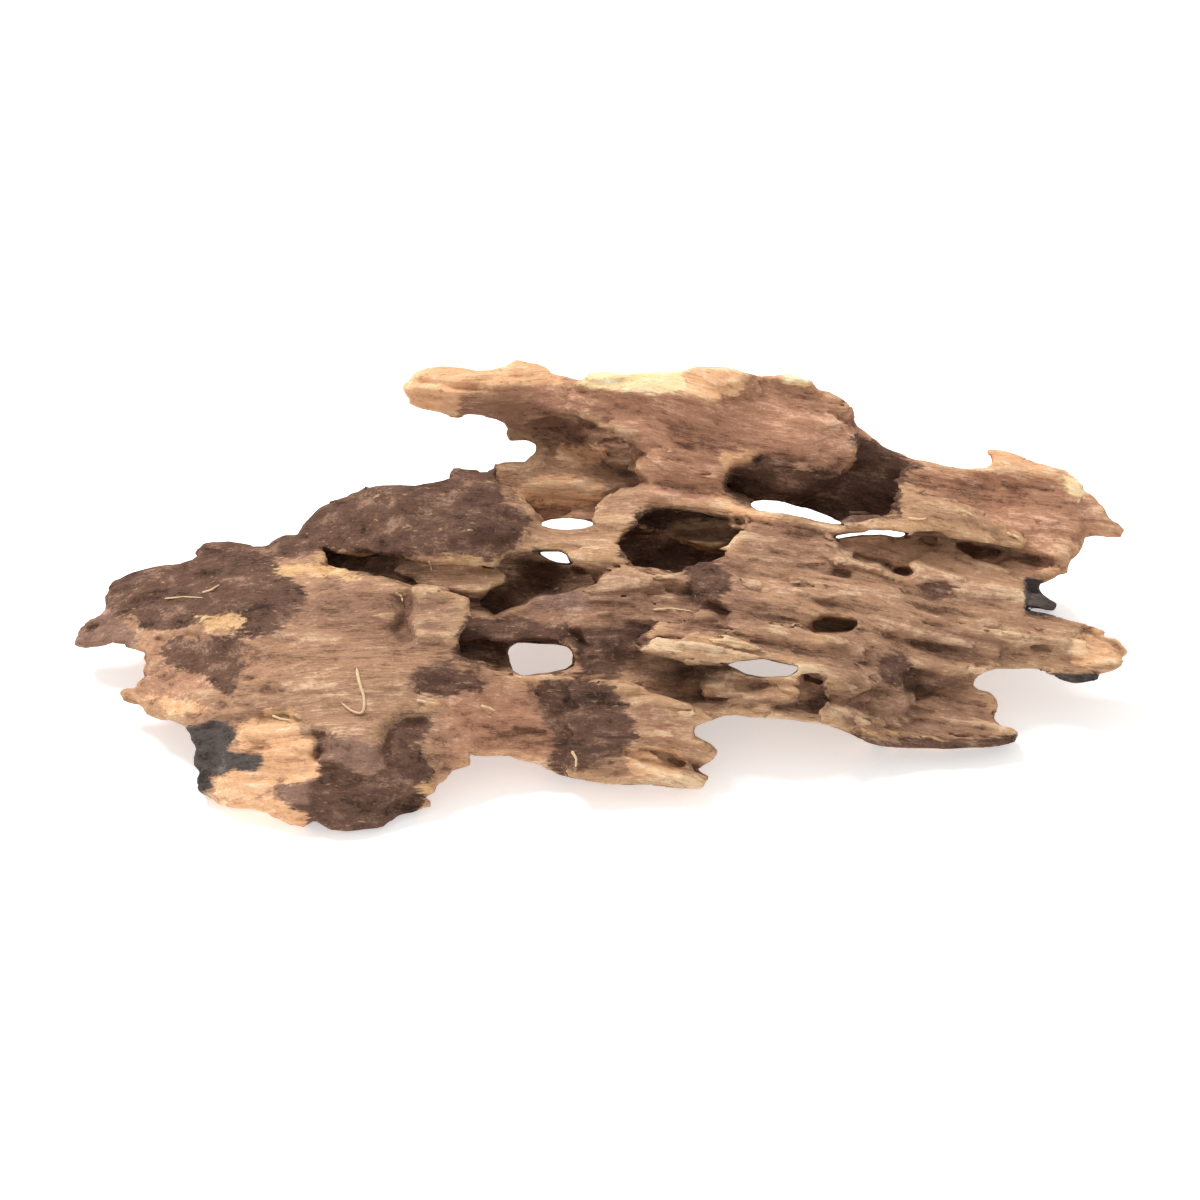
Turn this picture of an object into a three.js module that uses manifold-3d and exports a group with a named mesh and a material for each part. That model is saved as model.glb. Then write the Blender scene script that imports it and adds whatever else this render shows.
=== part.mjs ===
// A weathered piece of driftwood lying on its underside: a leaning slab on the left, a ragged plank on
// the right, a raised log with a pointed arm behind them, a wing at the back right and eaten-out
// hollows and holes between. One solid piece. Millimetres, +Z up, the grain and the long way along X.
import * as THREE from 'three';
import Module from 'manifold-3d';

const wasm = await Module();
wasm.setup();

const LENGTH = 320;
const TRIANGLES = 11000;
const GRID = [2.6, 1.7, 1.7];
const GROUND_SOFT = 2;
const LAYER_JOIN = 2;
const ROOT_JOIN = 8;
const KNUCKLE_JOIN = 5;
const LUMP_LONG = 55;
const LUMP_ACROSS = 24;
const LUMP_HEIGHT = 1.8;
const KNOT_LONG = 30;
const KNOT_ACROSS = 11;
const KNOT_HEIGHT = 0.7;
const FURROW_LONG = 70;
const FURROW_ACROSS = 13;
const FURROW_HEIGHT = 3;
const GRAIN_LONG = 40;
const GRAIN_ACROSS = 5;
const GRAIN_HEIGHT = 0.6;
const GROUND_LIFT = 2;
const GROUND_SWELL = 1.3;
const FOOT_DROP = 5;
const FOOT_SNAP = 0.35;
const TAPER = 20;

// The outlines below are drawn at full size on a plane that leans back by LEAN from the upright and
// passes PLANE_HEIGHT above the middle of the ground. Each is carried through the wood along the lines
// that meet EYE_DISTANCE in front of the plane. A point is [along, up the plane]; depth grows toward
// the eye.
const LEAN = 40 * Math.PI / 180;
const PLANE_HEIGHT = 35;
const EYE_DISTANCE = 1400;
const UP = Math.sin(LEAN);
const OUT = Math.cos(LEAN);
const DEPTH_RANGE = [-92, 46];
const PLANE_RANGE = [[-167, 167], [-78, 80]];

const SILHOUETTE = [
  [-160, -13.4], [-158, -8.6], [-155.6, -6.3], [-152.9, -4.9], [-150.7, -2.7], [-150.3, 1.1],
  [-149.6, 3.6], [-147.7, 6.3], [-143.9, 7.4], [-139.5, 9.3], [-134, 10.1], [-128.5, 10.9],
  [-124.2, 12], [-122.5, 15], [-120.9, 16.9], [-117.6, 17.6], [-112.1, 17.4], [-106.7, 16.5],
  [-102.8, 16.4], [-99, 17.8], [-96.3, 19.4], [-91.8, 19.7], [-91, 21.9], [-88.5, 24.4], [-85, 27.9],
  [-80.6, 30.4], [-76.8, 31.4], [-74.3, 32.6], [-71.6, 34.9], [-67.5, 34.6], [-62.6, 34.7],
  [-54.9, 34.9], [-49.4, 35.6], [-46.4, 36.3], [-45.6, 37.5], [-44.8, 40], [-43.4, 40.1], [-40.1, 39.3],
  [-34.6, 39.2], [-32.7, 39.8], [-32.1, 41.4], [-22.7, 41.5], [-21.9, 42.6], [-19.9, 44.8],
  [-19.1, 47.5], [-23.8, 49.1], [-27.3, 48.9], [-28.1, 51], [-27.9, 52.7], [-28.7, 54.3], [-33.6, 55.5],
  [-37.4, 56.5], [-40.7, 56.8], [-42.9, 55.9], [-45.7, 56.1], [-49.5, 57.4], [-52.8, 57.9], [-55, 59],
  [-58.2, 60.1], [-58.8, 63.1], [-59.6, 64.5], [-59.6, 66.1], [-57.7, 67.5], [-56.9, 68.9],
  [-52.8, 70.2], [-48.4, 70.9], [-42.9, 70.3], [-37.4, 69.8], [-32.5, 70.1], [-28.7, 70.9],
  [-25.4, 72.7], [-22.6, 72.3], [-18.8, 71.3], [-14.4, 69.7], [-10.6, 68.6], [-6.8, 67.2], [-4, 68],
  [-0.8, 68.9], [2.5, 69.1], [8, 68.6], [15.7, 69], [24.9, 69.1], [29.3, 70.6], [38.6, 70.6],
  [42.9, 69.4], [49, 67.8], [54.4, 68.3], [56.6, 69], [61, 67.5], [64.3, 66.4], [66.5, 63.9],
  [70.9, 62.6], [74.7, 60.4], [77.7, 58.5], [76.9, 57.4], [77.4, 54.4], [78.8, 52.2], [81.8, 50],
  [85.6, 47.2], [89.2, 45.3], [91.7, 44.4], [95, 43.1], [100.4, 41.7], [105.6, 40.3], [112.7, 39.5],
  [117.6, 39.7], [119.8, 41.1], [120.1, 42.8], [118.5, 44.7], [118.7, 45.7], [123.1, 45.1],
  [129.7, 42.8], [136.8, 40.6], [141.2, 39.5], [144.4, 37.3], [146.9, 34.8], [148.3, 32.7],
  [151.5, 29.9], [153.7, 27.8], [154, 25.6], [157.6, 23.1], [159.8, 20.4], [158.9, 18.7], [155.9, 19.1],
  [151.5, 20], [147.4, 19.3], [146.9, 16.3], [145.5, 14.1], [142.8, 11.9], [142, 8.6], [140, 8.3],
  [136.8, 6.4], [133.5, 5.3], [133.5, 3.1], [134.6, 1.2], [137.3, -0.4], [138.7, -1.3], [138.4, -2.6],
  [136.2, -2.6], [132.9, -1.8], [129.7, -1.4], [129.7, -3.4], [134, -4.2], [139.5, -5.6], [145, -7.2],
  [150.5, -8], [154.3, -10.3], [157.6, -11.6], [159.2, -13.3], [160.2, -16.3], [159.2, -19.3],
  [156.5, -21.2], [151.6, -22.2], [151.6, -24], [145, -24.9], [139.5, -23.5], [136.3, -21.8],
  [133, -20.7], [130.2, -20.3], [120.9, -20.4], [117.1, -21.5], [114.3, -22.9], [113.3, -25.6],
  [114.9, -27.8], [118.7, -28.6], [120.6, -30.5], [121.2, -32.4], [120.1, -34.9], [120.1, -36.5],
  [122, -38.5], [125.8, -39.3], [126.9, -40.9], [126.1, -42.8], [123.1, -43.7], [119.8, -44.2],
  [114.3, -44.3], [104.5, -45], [95.7, -44.9], [86.4, -44.2], [82.6, -43.1], [78.9, -41.7], [73.5, -39],
  [69.6, -37.6], [61.4, -36.8], [58.1, -36], [47.7, -35.3], [41.1, -34.6], [37.9, -34.9], [34.7, -36.1],
  [29.1, -37.8], [27.9, -39.8], [28.7, -42.1], [33.4, -44.1], [35.4, -46.1], [34.1, -48.5],
  [29.1, -51.8], [31.7, -53.4], [32.7, -54.1], [31, -57.1], [25.4, -57.3], [20.1, -56.4], [15.4, -55.8],
  [8.1, -56.1], [2.8, -56], [-1.2, -55.1], [-5.2, -54.6], [-10.5, -53.5], [-15.1, -51.5],
  [-19.8, -49.5], [-24.8, -48.8], [-27.8, -47.5], [-34.4, -47.1], [-40, -46.8], [-40, -50.1],
  [-44.7, -52.1], [-49.7, -56.1], [-50.6, -58.1], [-52.2, -60.3], [-51.1, -63.1], [-51.7, -64.2],
  [-55.3, -65.8], [-58.5, -68], [-60.2, -70.7], [-63.7, -71.5], [-68.9, -70.2], [-74.4, -70.4],
  [-78.8, -70.2], [-82.1, -69.9], [-84.3, -68.3], [-87, -66.8], [-90.3, -68.5], [-94.7, -67.9],
  [-98.5, -66.3], [-101.8, -64.3], [-106.7, -63.3], [-112.2, -62.9], [-116.6, -62.2], [-119, -59.8],
  [-121.2, -59], [-122.6, -57.3], [-122.1, -52.4], [-123.9, -49.4], [-123.8, -46.4], [-124.7, -43.3],
  [-124.2, -40.9], [-126.4, -38.1], [-129.7, -36.6], [-134, -35.9], [-138.1, -34.5], [-140.6, -31.7],
  [-145, -30.4], [-146.5, -29], [-145.5, -27.5], [-141.9, -27.4], [-140.3, -25.1], [-138.5, -23.6],
  [-139, -21.9], [-138.5, -19.2], [-139.2, -16.4], [-141.1, -14.8], [-145, -13.7], [-149.9, -13.4],
  [-156.7, -14.3],
];

const HOLES = [
  [
    [-18.3, 23.1], [-15.3, 24.4], [-9.8, 25.1], [-4.9, 24.7], [-1.4, 23.6], [-2.2, 22.5], [-4.9, 21.7],
    [-10.4, 21.3], [-15.9, 21.8],
  ],
  [
    [-19.7, 15], [-12, 15], [-9.9, 13.8], [-9.6, 12.4], [-8.2, 11.3], [-9.9, 10.9], [-13.1, 11.3],
    [-16.4, 12.7], [-18.6, 14.1],
  ],
  [
    [-28.3, -15.8], [-27.6, -14.1], [-25.7, -13.1], [-20.8, -13], [-14.2, -13.3], [-9.9, -14.1],
    [-8.2, -16], [-8.3, -19.3], [-10.4, -21.2], [-15.3, -22.3], [-19.7, -22.6], [-23.8, -23.3],
    [-26.3, -22], [-27.4, -19.9],
  ],
  [
    [45.1, 29.2], [47.3, 30.4], [50, 30.7], [54.4, 30.4], [58.8, 29.1], [64.8, 27.5], [68.7, 25.9],
    [73, 24], [75.5, 22.4], [70.9, 23.1], [65.4, 24.2], [61, 25.3], [55.5, 26.4], [51.1, 26.7],
    [47.9, 27.2],
  ],
  [
    [70.9, 19], [72.2, 19.9], [76.3, 20.5], [79.6, 20.7], [80.4, 20.7], [82.1, 21.6], [88.9, 21.3],
    [94.1, 20.4], [92.7, 19.3], [90, 19.1], [85.6, 19.9], [79, 19.6], [72.5, 18.5],
  ],
  [
    [38.4, -19.8], [41.7, -18.5], [49.9, -17.8], [55.4, -19.1], [60.9, -20.1], [60.3, -21.7],
    [57.6, -23.4], [49.9, -23.7], [44.4, -22.8], [41.1, -20.9],
  ],
];

const LAYERS = {
  slab: {
    outline: [
      [-168, -14], [-168, 16], [-130, 16], [-124.2, 12], [-121.7, 12.3], [-112, 13.5], [-106.7, 17],
      [-99, 19], [-92, 21], [-88, 18.2], [-84.5, 14], [-83.3, 10.7], [-79, 9.6], [-75.7, 8.3],
      [-72.9, 7.2], [-66.9, 6.6], [-61.5, 5.3], [-57.1, 3.9], [-50.5, 3.9], [-46.7, 2.2], [-42.3, 1.1],
      [-40.6, -0.2], [-40.1, -6.2], [-42.8, -9.5], [-44.8, -13.4], [-42, -17], [-35, -21],
      [-30.1, -22.8], [-23.8, -23.8], [-15.3, -23.2], [-8, -24], [-3, -30], [-3, -60], [-40, -62],
      [-48, -62], [-50, -80], [-130, -80], [-160, -46],
    ],
    posts: [
      [-159.5, -12.8, 14], [-146, 0, 24], [-146, -29, 12], [-122, 12, 34], [-98, 17, 40],
      [-107, -6, 38], [-122, -30.5, 23], [-91.5, -30.5, 30], [-67, 0, 44], [-61, -24.4, 34],
      [-116, -55, 9], [-91.5, -55, 15], [-79, -70, 4], [-61, -49, 19], [-52, -61, 8], [-45, -8, 42],
      [-36.6, -36.6, 22], [-12, -36.6, 20], [-15, -50, 9], [-40, -25, 32],
    ],
    thick: 32,
    rim: 8,
    frontRound: 2,
    backRound: 4,
  },
  backleft: {
    outline: [
      [-128, 4], [-128, 22], [-100, 24], [-86, 30], [-40, 32], [-36, 12], [-28.5, 7.4], [-29.1, 5.3],
      [-34.6, 3.3], [-36.8, 0.9], [-40, -8], [-60, -14], [-100, -6],
    ],
    posts: [
      [-120, 14, 31], [-98, 14, 36], [-84, 14, 35], [-70, 10, 36], [-52, 6, 37], [-32, 5, 34],
      [-60, 28, 44], [-60, -6, 34], [-100, 0, 30],
    ],
    thick: 24,
    rim: 9,
    frontRound: 2,
    backRound: 4,
  },
  tongue: {
    outline: [
      [-55, 14], [-49.9, 11], [-31, 10.5], [-28.5, 7.4], [-29.1, 5.3], [-34.6, 3.3], [-36.8, 0.9],
      [-42.8, 1.4], [-48.3, 3.3], [-54.9, 4.2], [-62, 9], [-60, 16],
    ],
    posts: [
      [-55, 6, 41], [-32, 6, 41], [-45, 3, 40], [-45, 14, 46],
    ],
    thick: 16,
    rim: 7,
    frontRound: 1.6,
    backRound: 3,
  },
  plateau: {
    outline: [
      [-94, 18], [-96, 28], [-74, 40], [-50, 44], [-31.8, 44], [-31.4, 36.5], [-27, 34.4],
      [-24.3, 32.4], [-22.7, 29.7], [-21, 27], [-18.3, 24], [-15.9, 21.8], [-10, 21], [-4, 21.5],
      [-2, 19], [-6, 13], [-9.6, 11.4], [-9.9, 13.8], [-12, 15], [-19.7, 15.2], [-24.1, 15],
      [-27.9, 14.1], [-30.1, 11.3], [-31.3, 9.6], [-36.3, 12.4], [-38.5, 10.7], [-43.9, 11.4],
      [-49.4, 11.1], [-52.7, 11.8], [-56, 12.5], [-60.3, 12.9], [-65.3, 13.7], [-70.2, 14.3],
      [-75.7, 14.6], [-81.2, 14.8], [-84.4, 16.7], [-89.9, 18.9],
    ],
    posts: [
      [-90, 20, 43], [-70, 33, 55], [-61, 22, 53], [-45, 38, 61], [-33, 38, 61], [-24, 27, 54],
      [-40, 24, 57], [-12, 18, 46], [-49, 12, 47], [-72, 16, 46], [-30, 12, 46],
    ],
    thick: 26,
    rim: 8,
    frontRound: 1.8,
    backRound: 4,
  },
  arm: {
    outline: [
      [-64, 64], [-62, 76], [0, 78], [70, 76], [84, 58], [77.4, 54.4], [78, 46.7], [77.7, 43.9],
      [76.3, 41.2], [74.7, 39.7], [70.9, 39.4], [67.6, 40.4], [62.1, 43.4], [56.6, 44.5], [52.2, 43.9],
      [47.9, 43.4], [45.7, 42.4], [42.4, 41.6], [40, 40.1], [38.6, 37.9], [38, 34.6], [40.2, 32.5],
      [42.4, 31.1], [43, 29.5], [35, 27.5], [24, 29], [16.4, 28.5], [13.7, 27.2], [8, 25.4], [2, 26],
      [0.9, 26.4], [2.5, 28.6], [4.7, 30.8], [10.2, 32.7], [13.5, 35.7], [11.3, 40.1], [12.4, 42.8],
      [12.9, 45], [10.7, 48.3], [8, 50.2], [4.2, 52.4], [-0.8, 54.3], [-6.2, 55.2], [-11.7, 56],
      [-15, 56.8], [-19, 55], [-24, 52], [-28, 50], [-40, 50], [-60, 56],
    ],
    posts: [
      [-58, 67, 70], [-57, 64, 69.5], [-57, 60, 63], [-46, 70.5, 76.5], [-46, 65.5, 75], [-46, 58, 63],
      [-30, 70, 78], [-30, 65, 76], [-28, 56, 61], [0, 68, 80], [30, 70, 82], [30, 62, 78],
      [30, 48, 66], [30, 33, 53], [60, 67, 78], [75, 58, 70], [72, 42, 57], [55, 46, 62], [-2, 56, 70],
      [12, 44, 62], [6, 29, 49],
    ],
    thick: 36,
    rim: 11,
    frontRound: 2.4,
    backRound: 5,
  },
  scoop: {
    outline: [
      [-34, 36], [-34, 46], [-30, 56], [-10, 60], [16, 56], [16, 30], [4, 24.5], [-1.4, 23.6],
      [-4.9, 24.9], [-9.8, 25.3], [-15.3, 24.6], [-18.3, 23.3], [-22, 22], [-34, 26],
    ],
    posts: [
      [-24, 50, 56], [-10, 54, 55], [8, 48, 46], [-6, 44.5, 48], [-22, 42, 51], [-6, 38, 47],
      [-6, 30, 40], [-8, 25, 33], [8, 32, 42], [-24, 30, 42],
    ],
    thick: 22,
    rim: 9,
    frontRound: 1.8,
    backRound: 4,
  },
  wall: {
    outline: [
      [30, 24], [34, 44], [60, 52], [78, 58], [92, 48], [120, 42], [122, 26], [100, 20], [80, 22.5],
      [75.5, 22.6], [68.7, 26], [64.8, 27.7], [58.8, 29.3], [54.4, 30.6], [50, 30.9], [47.3, 30.6],
      [45.1, 29.2],
    ],
    posts: [
      [82, 49, 58], [105, 40, 51], [60, 40, 47], [60, 31, 38], [46, 31, 38], [90, 30, 40], [76, 24, 34],
      [42, 40, 46],
    ],
    thick: 20,
    rim: 8,
    frontRound: 1.8,
    backRound: 4,
  },
  web: {
    outline: [
      [-31.7, -5.1], [-35.6, -3.2], [-41, -2.5], [-47, -8], [-43, -13], [-34.5, -12.5], [-28, -14],
      [-27.6, -14.1], [-25.7, -13.1], [-20.8, -13], [-14.2, -13.3], [-9.9, -14.1], [-8.2, -16],
      [-8.3, -19.3], [-10.4, -21.2], [-15, -24], [-12, -30], [0, -38], [34, -38], [60, -30], [60, 24],
      [44, 31], [40, 30], [41.3, 22.2], [39.4, 24.4], [35, 26.3], [29.6, 27.8], [23, 28.8],
      [16.4, 28.5], [13.7, 27.2], [10.7, 25], [6.6, 18.7], [5, 16.6], [5.5, 14.6], [8.2, 12.1],
      [11.5, 9.7], [17, 8], [23.5, 7.4], [40.5, 14.6], [44, 22], [40, 31], [20, 34], [6, 33], [0, 27],
      [-1.3, 23.4], [-4.9, 21.7], [-10.4, 21.3], [-15.9, 21.8], [-20, 24], [-30, 20], [-28, 15.5],
      [-19.7, 15.2], [-12, 15], [-9.9, 13.8], [-9.6, 12.4], [-8.2, 11.3], [-4.4, 9.4], [-1.1, 7.5],
      [0, 4.8], [-9.8, 1.5], [-18.1, 0.9], [-26.3, -2.4], [-29.5, -4.3],
    ],
    posts: [
      [-44, -8, 31], [-32, -8, 32], [-18, -5, 32], [-12, 18, 46], [2, 14, 45], [2, 24, 48], [24, 3, 42],
      [12, -12, 30], [-2, -8, 34], [-4, -30, 21], [12, -30, 20], [30, -30, 21], [26, -16, 28],
      [42, 24, 48], [42, 8, 44], [50, -8, 38],
    ],
    thick: 28,
    rim: 9,
    frontRound: 2,
    backRound: 4,
  },
  flap: {
    outline: [
      [-1.2, -25.5], [4.8, -25.5], [9.4, -26.8], [15.4, -28.8], [20.7, -30.2], [25.4, -32.2],
      [30.7, -34.2], [36, -37], [40, -46], [38, -60], [-5, -60], [-9.5, -53.5], [-9.2, -50.1],
      [-9.5, -44.1], [-8.5, -38.8], [-7.8, -32.2], [-9.2, -27.5],
    ],
    posts: [
      [-4, -27, 29], [14, -31, 27.5], [29, -36, 23], [-6, -50, 14], [12, -53, 9], [30, -54, 7],
      [12, -40, 20.5], [33, -46, 13],
    ],
    thick: 20,
    rim: 8,
    frontRound: 1.6,
    backRound: 3,
  },
  bands: {
    outline: [
      [24, -14], [70, -14], [76, -20], [80, -40], [60, -40], [24, -42], [30.5, -34], [30.8, -24],
    ],
    posts: [
      [32, -20, 27], [32, -29, 22.5], [32, -36, 17], [66, -24, 27], [66, -36, 17], [50, -30, 22],
    ],
    thick: 22,
    rim: 8,
    frontRound: 1.8,
    backRound: 4,
  },
  lower: {
    outline: [
      [66, -18], [120, -14], [130, -30], [132, -48], [66, -48],
    ],
    posts: [
      [76, -30, 20], [100, -26, 19], [88, -41, 9], [118, -30, 14], [125, -41, 8], [100, -42, 8],
    ],
    thick: 22,
    rim: 8,
    frontRound: 1.6,
    backRound: 3,
  },
  plank: {
    outline: [
      [11.1, -13.3], [12.6, -11.4], [15.9, -10], [19.2, -8.6], [23, -7.6], [30, -4.5], [34, 2],
      [40, 12], [44, 20], [46, 26], [51.1, 26.5], [55.5, 26.2], [61, 25.1], [65.4, 24], [70.9, 22.9],
      [75.5, 22.2], [80, 22], [79.6, 20.8], [70.9, 19], [72.5, 18.5], [79, 19.5], [85.6, 19.8],
      [90, 19], [92.7, 19.2], [94.1, 20.3], [100, 20], [106.7, 19], [110, 15.2], [113.2, 12.4],
      [117.6, 10], [123.1, 8], [128.6, 5.4], [127.8, 1.8], [128.9, -0.9], [140, -2], [166, -8],
      [166, -28], [140, -26], [130.2, -20.3], [120.9, -20.4], [116.5, -18.7], [112.7, -19.3],
      [110, -20.6], [106.7, -22], [103.4, -22.4], [99.6, -21.3], [95.7, -21.2], [91.7, -22.3],
      [92.5, -23.4], [92.2, -26.7], [95.2, -30], [92, -35], [90, -48], [69.1, -46], [69.1, -34.3],
      [71, -33.2], [69.6, -31.6], [68.8, -27.7], [69.1, -25.6], [70.7, -24.5], [69.1, -22.3],
      [66.3, -20.4], [60.9, -19.7], [55.4, -19], [49.9, -17.6], [44.4, -17.9], [40, -18.5],
      [33.9, -18.3], [27.4, -17.7], [23.5, -16.6], [19.2, -16], [14.8, -15.5],
    ],
    posts: [
      [12, -13, 37], [28, -10, 40], [42, 18, 47], [60, 24, 49], [76, 12, 44], [55, 0, 42],
      [91.5, -6, 34], [122, 0, 32], [122, -17, 24], [158.6, -17, 21], [60, -18, 34], [76, -28, 26],
      [84, -42, 11], [108, 14, 40],
    ],
    thick: 26,
    rim: 8,
    frontRound: 1.6,
    backRound: 4,
  },
  wing: {
    outline: [
      [72, 22], [76, 26], [86.7, 25.6], [90, 26.7], [90.6, 30.8], [92.5, 33.5], [90, 36.3], [96, 41],
      [100, 40.5], [104, 46], [125, 50], [160, 42], [164, 20], [150, 14], [140, 2], [126, 2], [122, 8],
      [126, 17], [110, 18], [94, 20.4], [88.9, 21.4], [80, 21.2],
    ],
    posts: [
      [76, 22.5, 48], [92, 35, 52], [100, 30, 50], [106, 39, 53], [122, 41, 57], [146, 32, 50],
      [158, 21, 42], [140, 14, 36], [133, 6, 30], [115, 32, 47], [125, 24, 41], [136, 24, 44],
      [96, 22, 47],
    ],
    thick: 26,
    rim: 8,
    frontRound: 1.8,
    backRound: 4,
  },
  blade: {
    outline: [
      [90, 36.3], [94, 36], [100, 32], [107.2, 29.9], [112.2, 27.8], [117.6, 25], [124.2, 21.8],
      [126.9, 20.1], [129.4, 18.5], [128.6, 16.8], [120.9, 17.5], [114.3, 18.6], [107.8, 19.6],
      [101.2, 20.1], [94.1, 20.4], [88.9, 21.4], [82, 21.8], [75.5, 22.6], [81.8, 24.5], [86.7, 25.6],
      [90, 26.7], [90.6, 30.8], [92.5, 33.5],
    ],
    posts: [
      [78, 22.5, 50], [92, 34, 55], [97, 28, 54], [110, 27, 52], [128, 18, 43], [110, 20, 48],
    ],
    thick: 16,
    rim: 7,
    frontRound: 1.5,
    backRound: 3,
  },
  deep: {
    outline: [
      [-92, 12], [-60, 20], [-20, 22], [6, 30], [46, 31], [60, 26], [90, 22], [128, 18], [136, 6],
      [130, -4], [100, -24], [80, -34], [30, -34], [10, -36], [-10, -30], [-30, -26], [-36, -20],
      [-60, -20],
    ],
    posts: [
      [-80, 10, 26], [-40, 6, 24], [-20, 12, 28], [-20, 2, 18], [0, 16, 30], [24, 26, 35], [24, 16, 25],
      [24, 9, 21], [60, 10, 28], [120, 12, 24], [-36, -8, 27], [-34, -18, 23], [-34, 2, 26],
      [-10, -16, 20], [10, -30, 14], [30, -20, 20], [60, -24, 18], [70, -8, 24], [100, -10, 20],
      [20, -34, 13],
    ],
    thick: 18,
    rim: 9,
    frontRound: 2.6,
    backRound: 4,
  },
};

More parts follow.
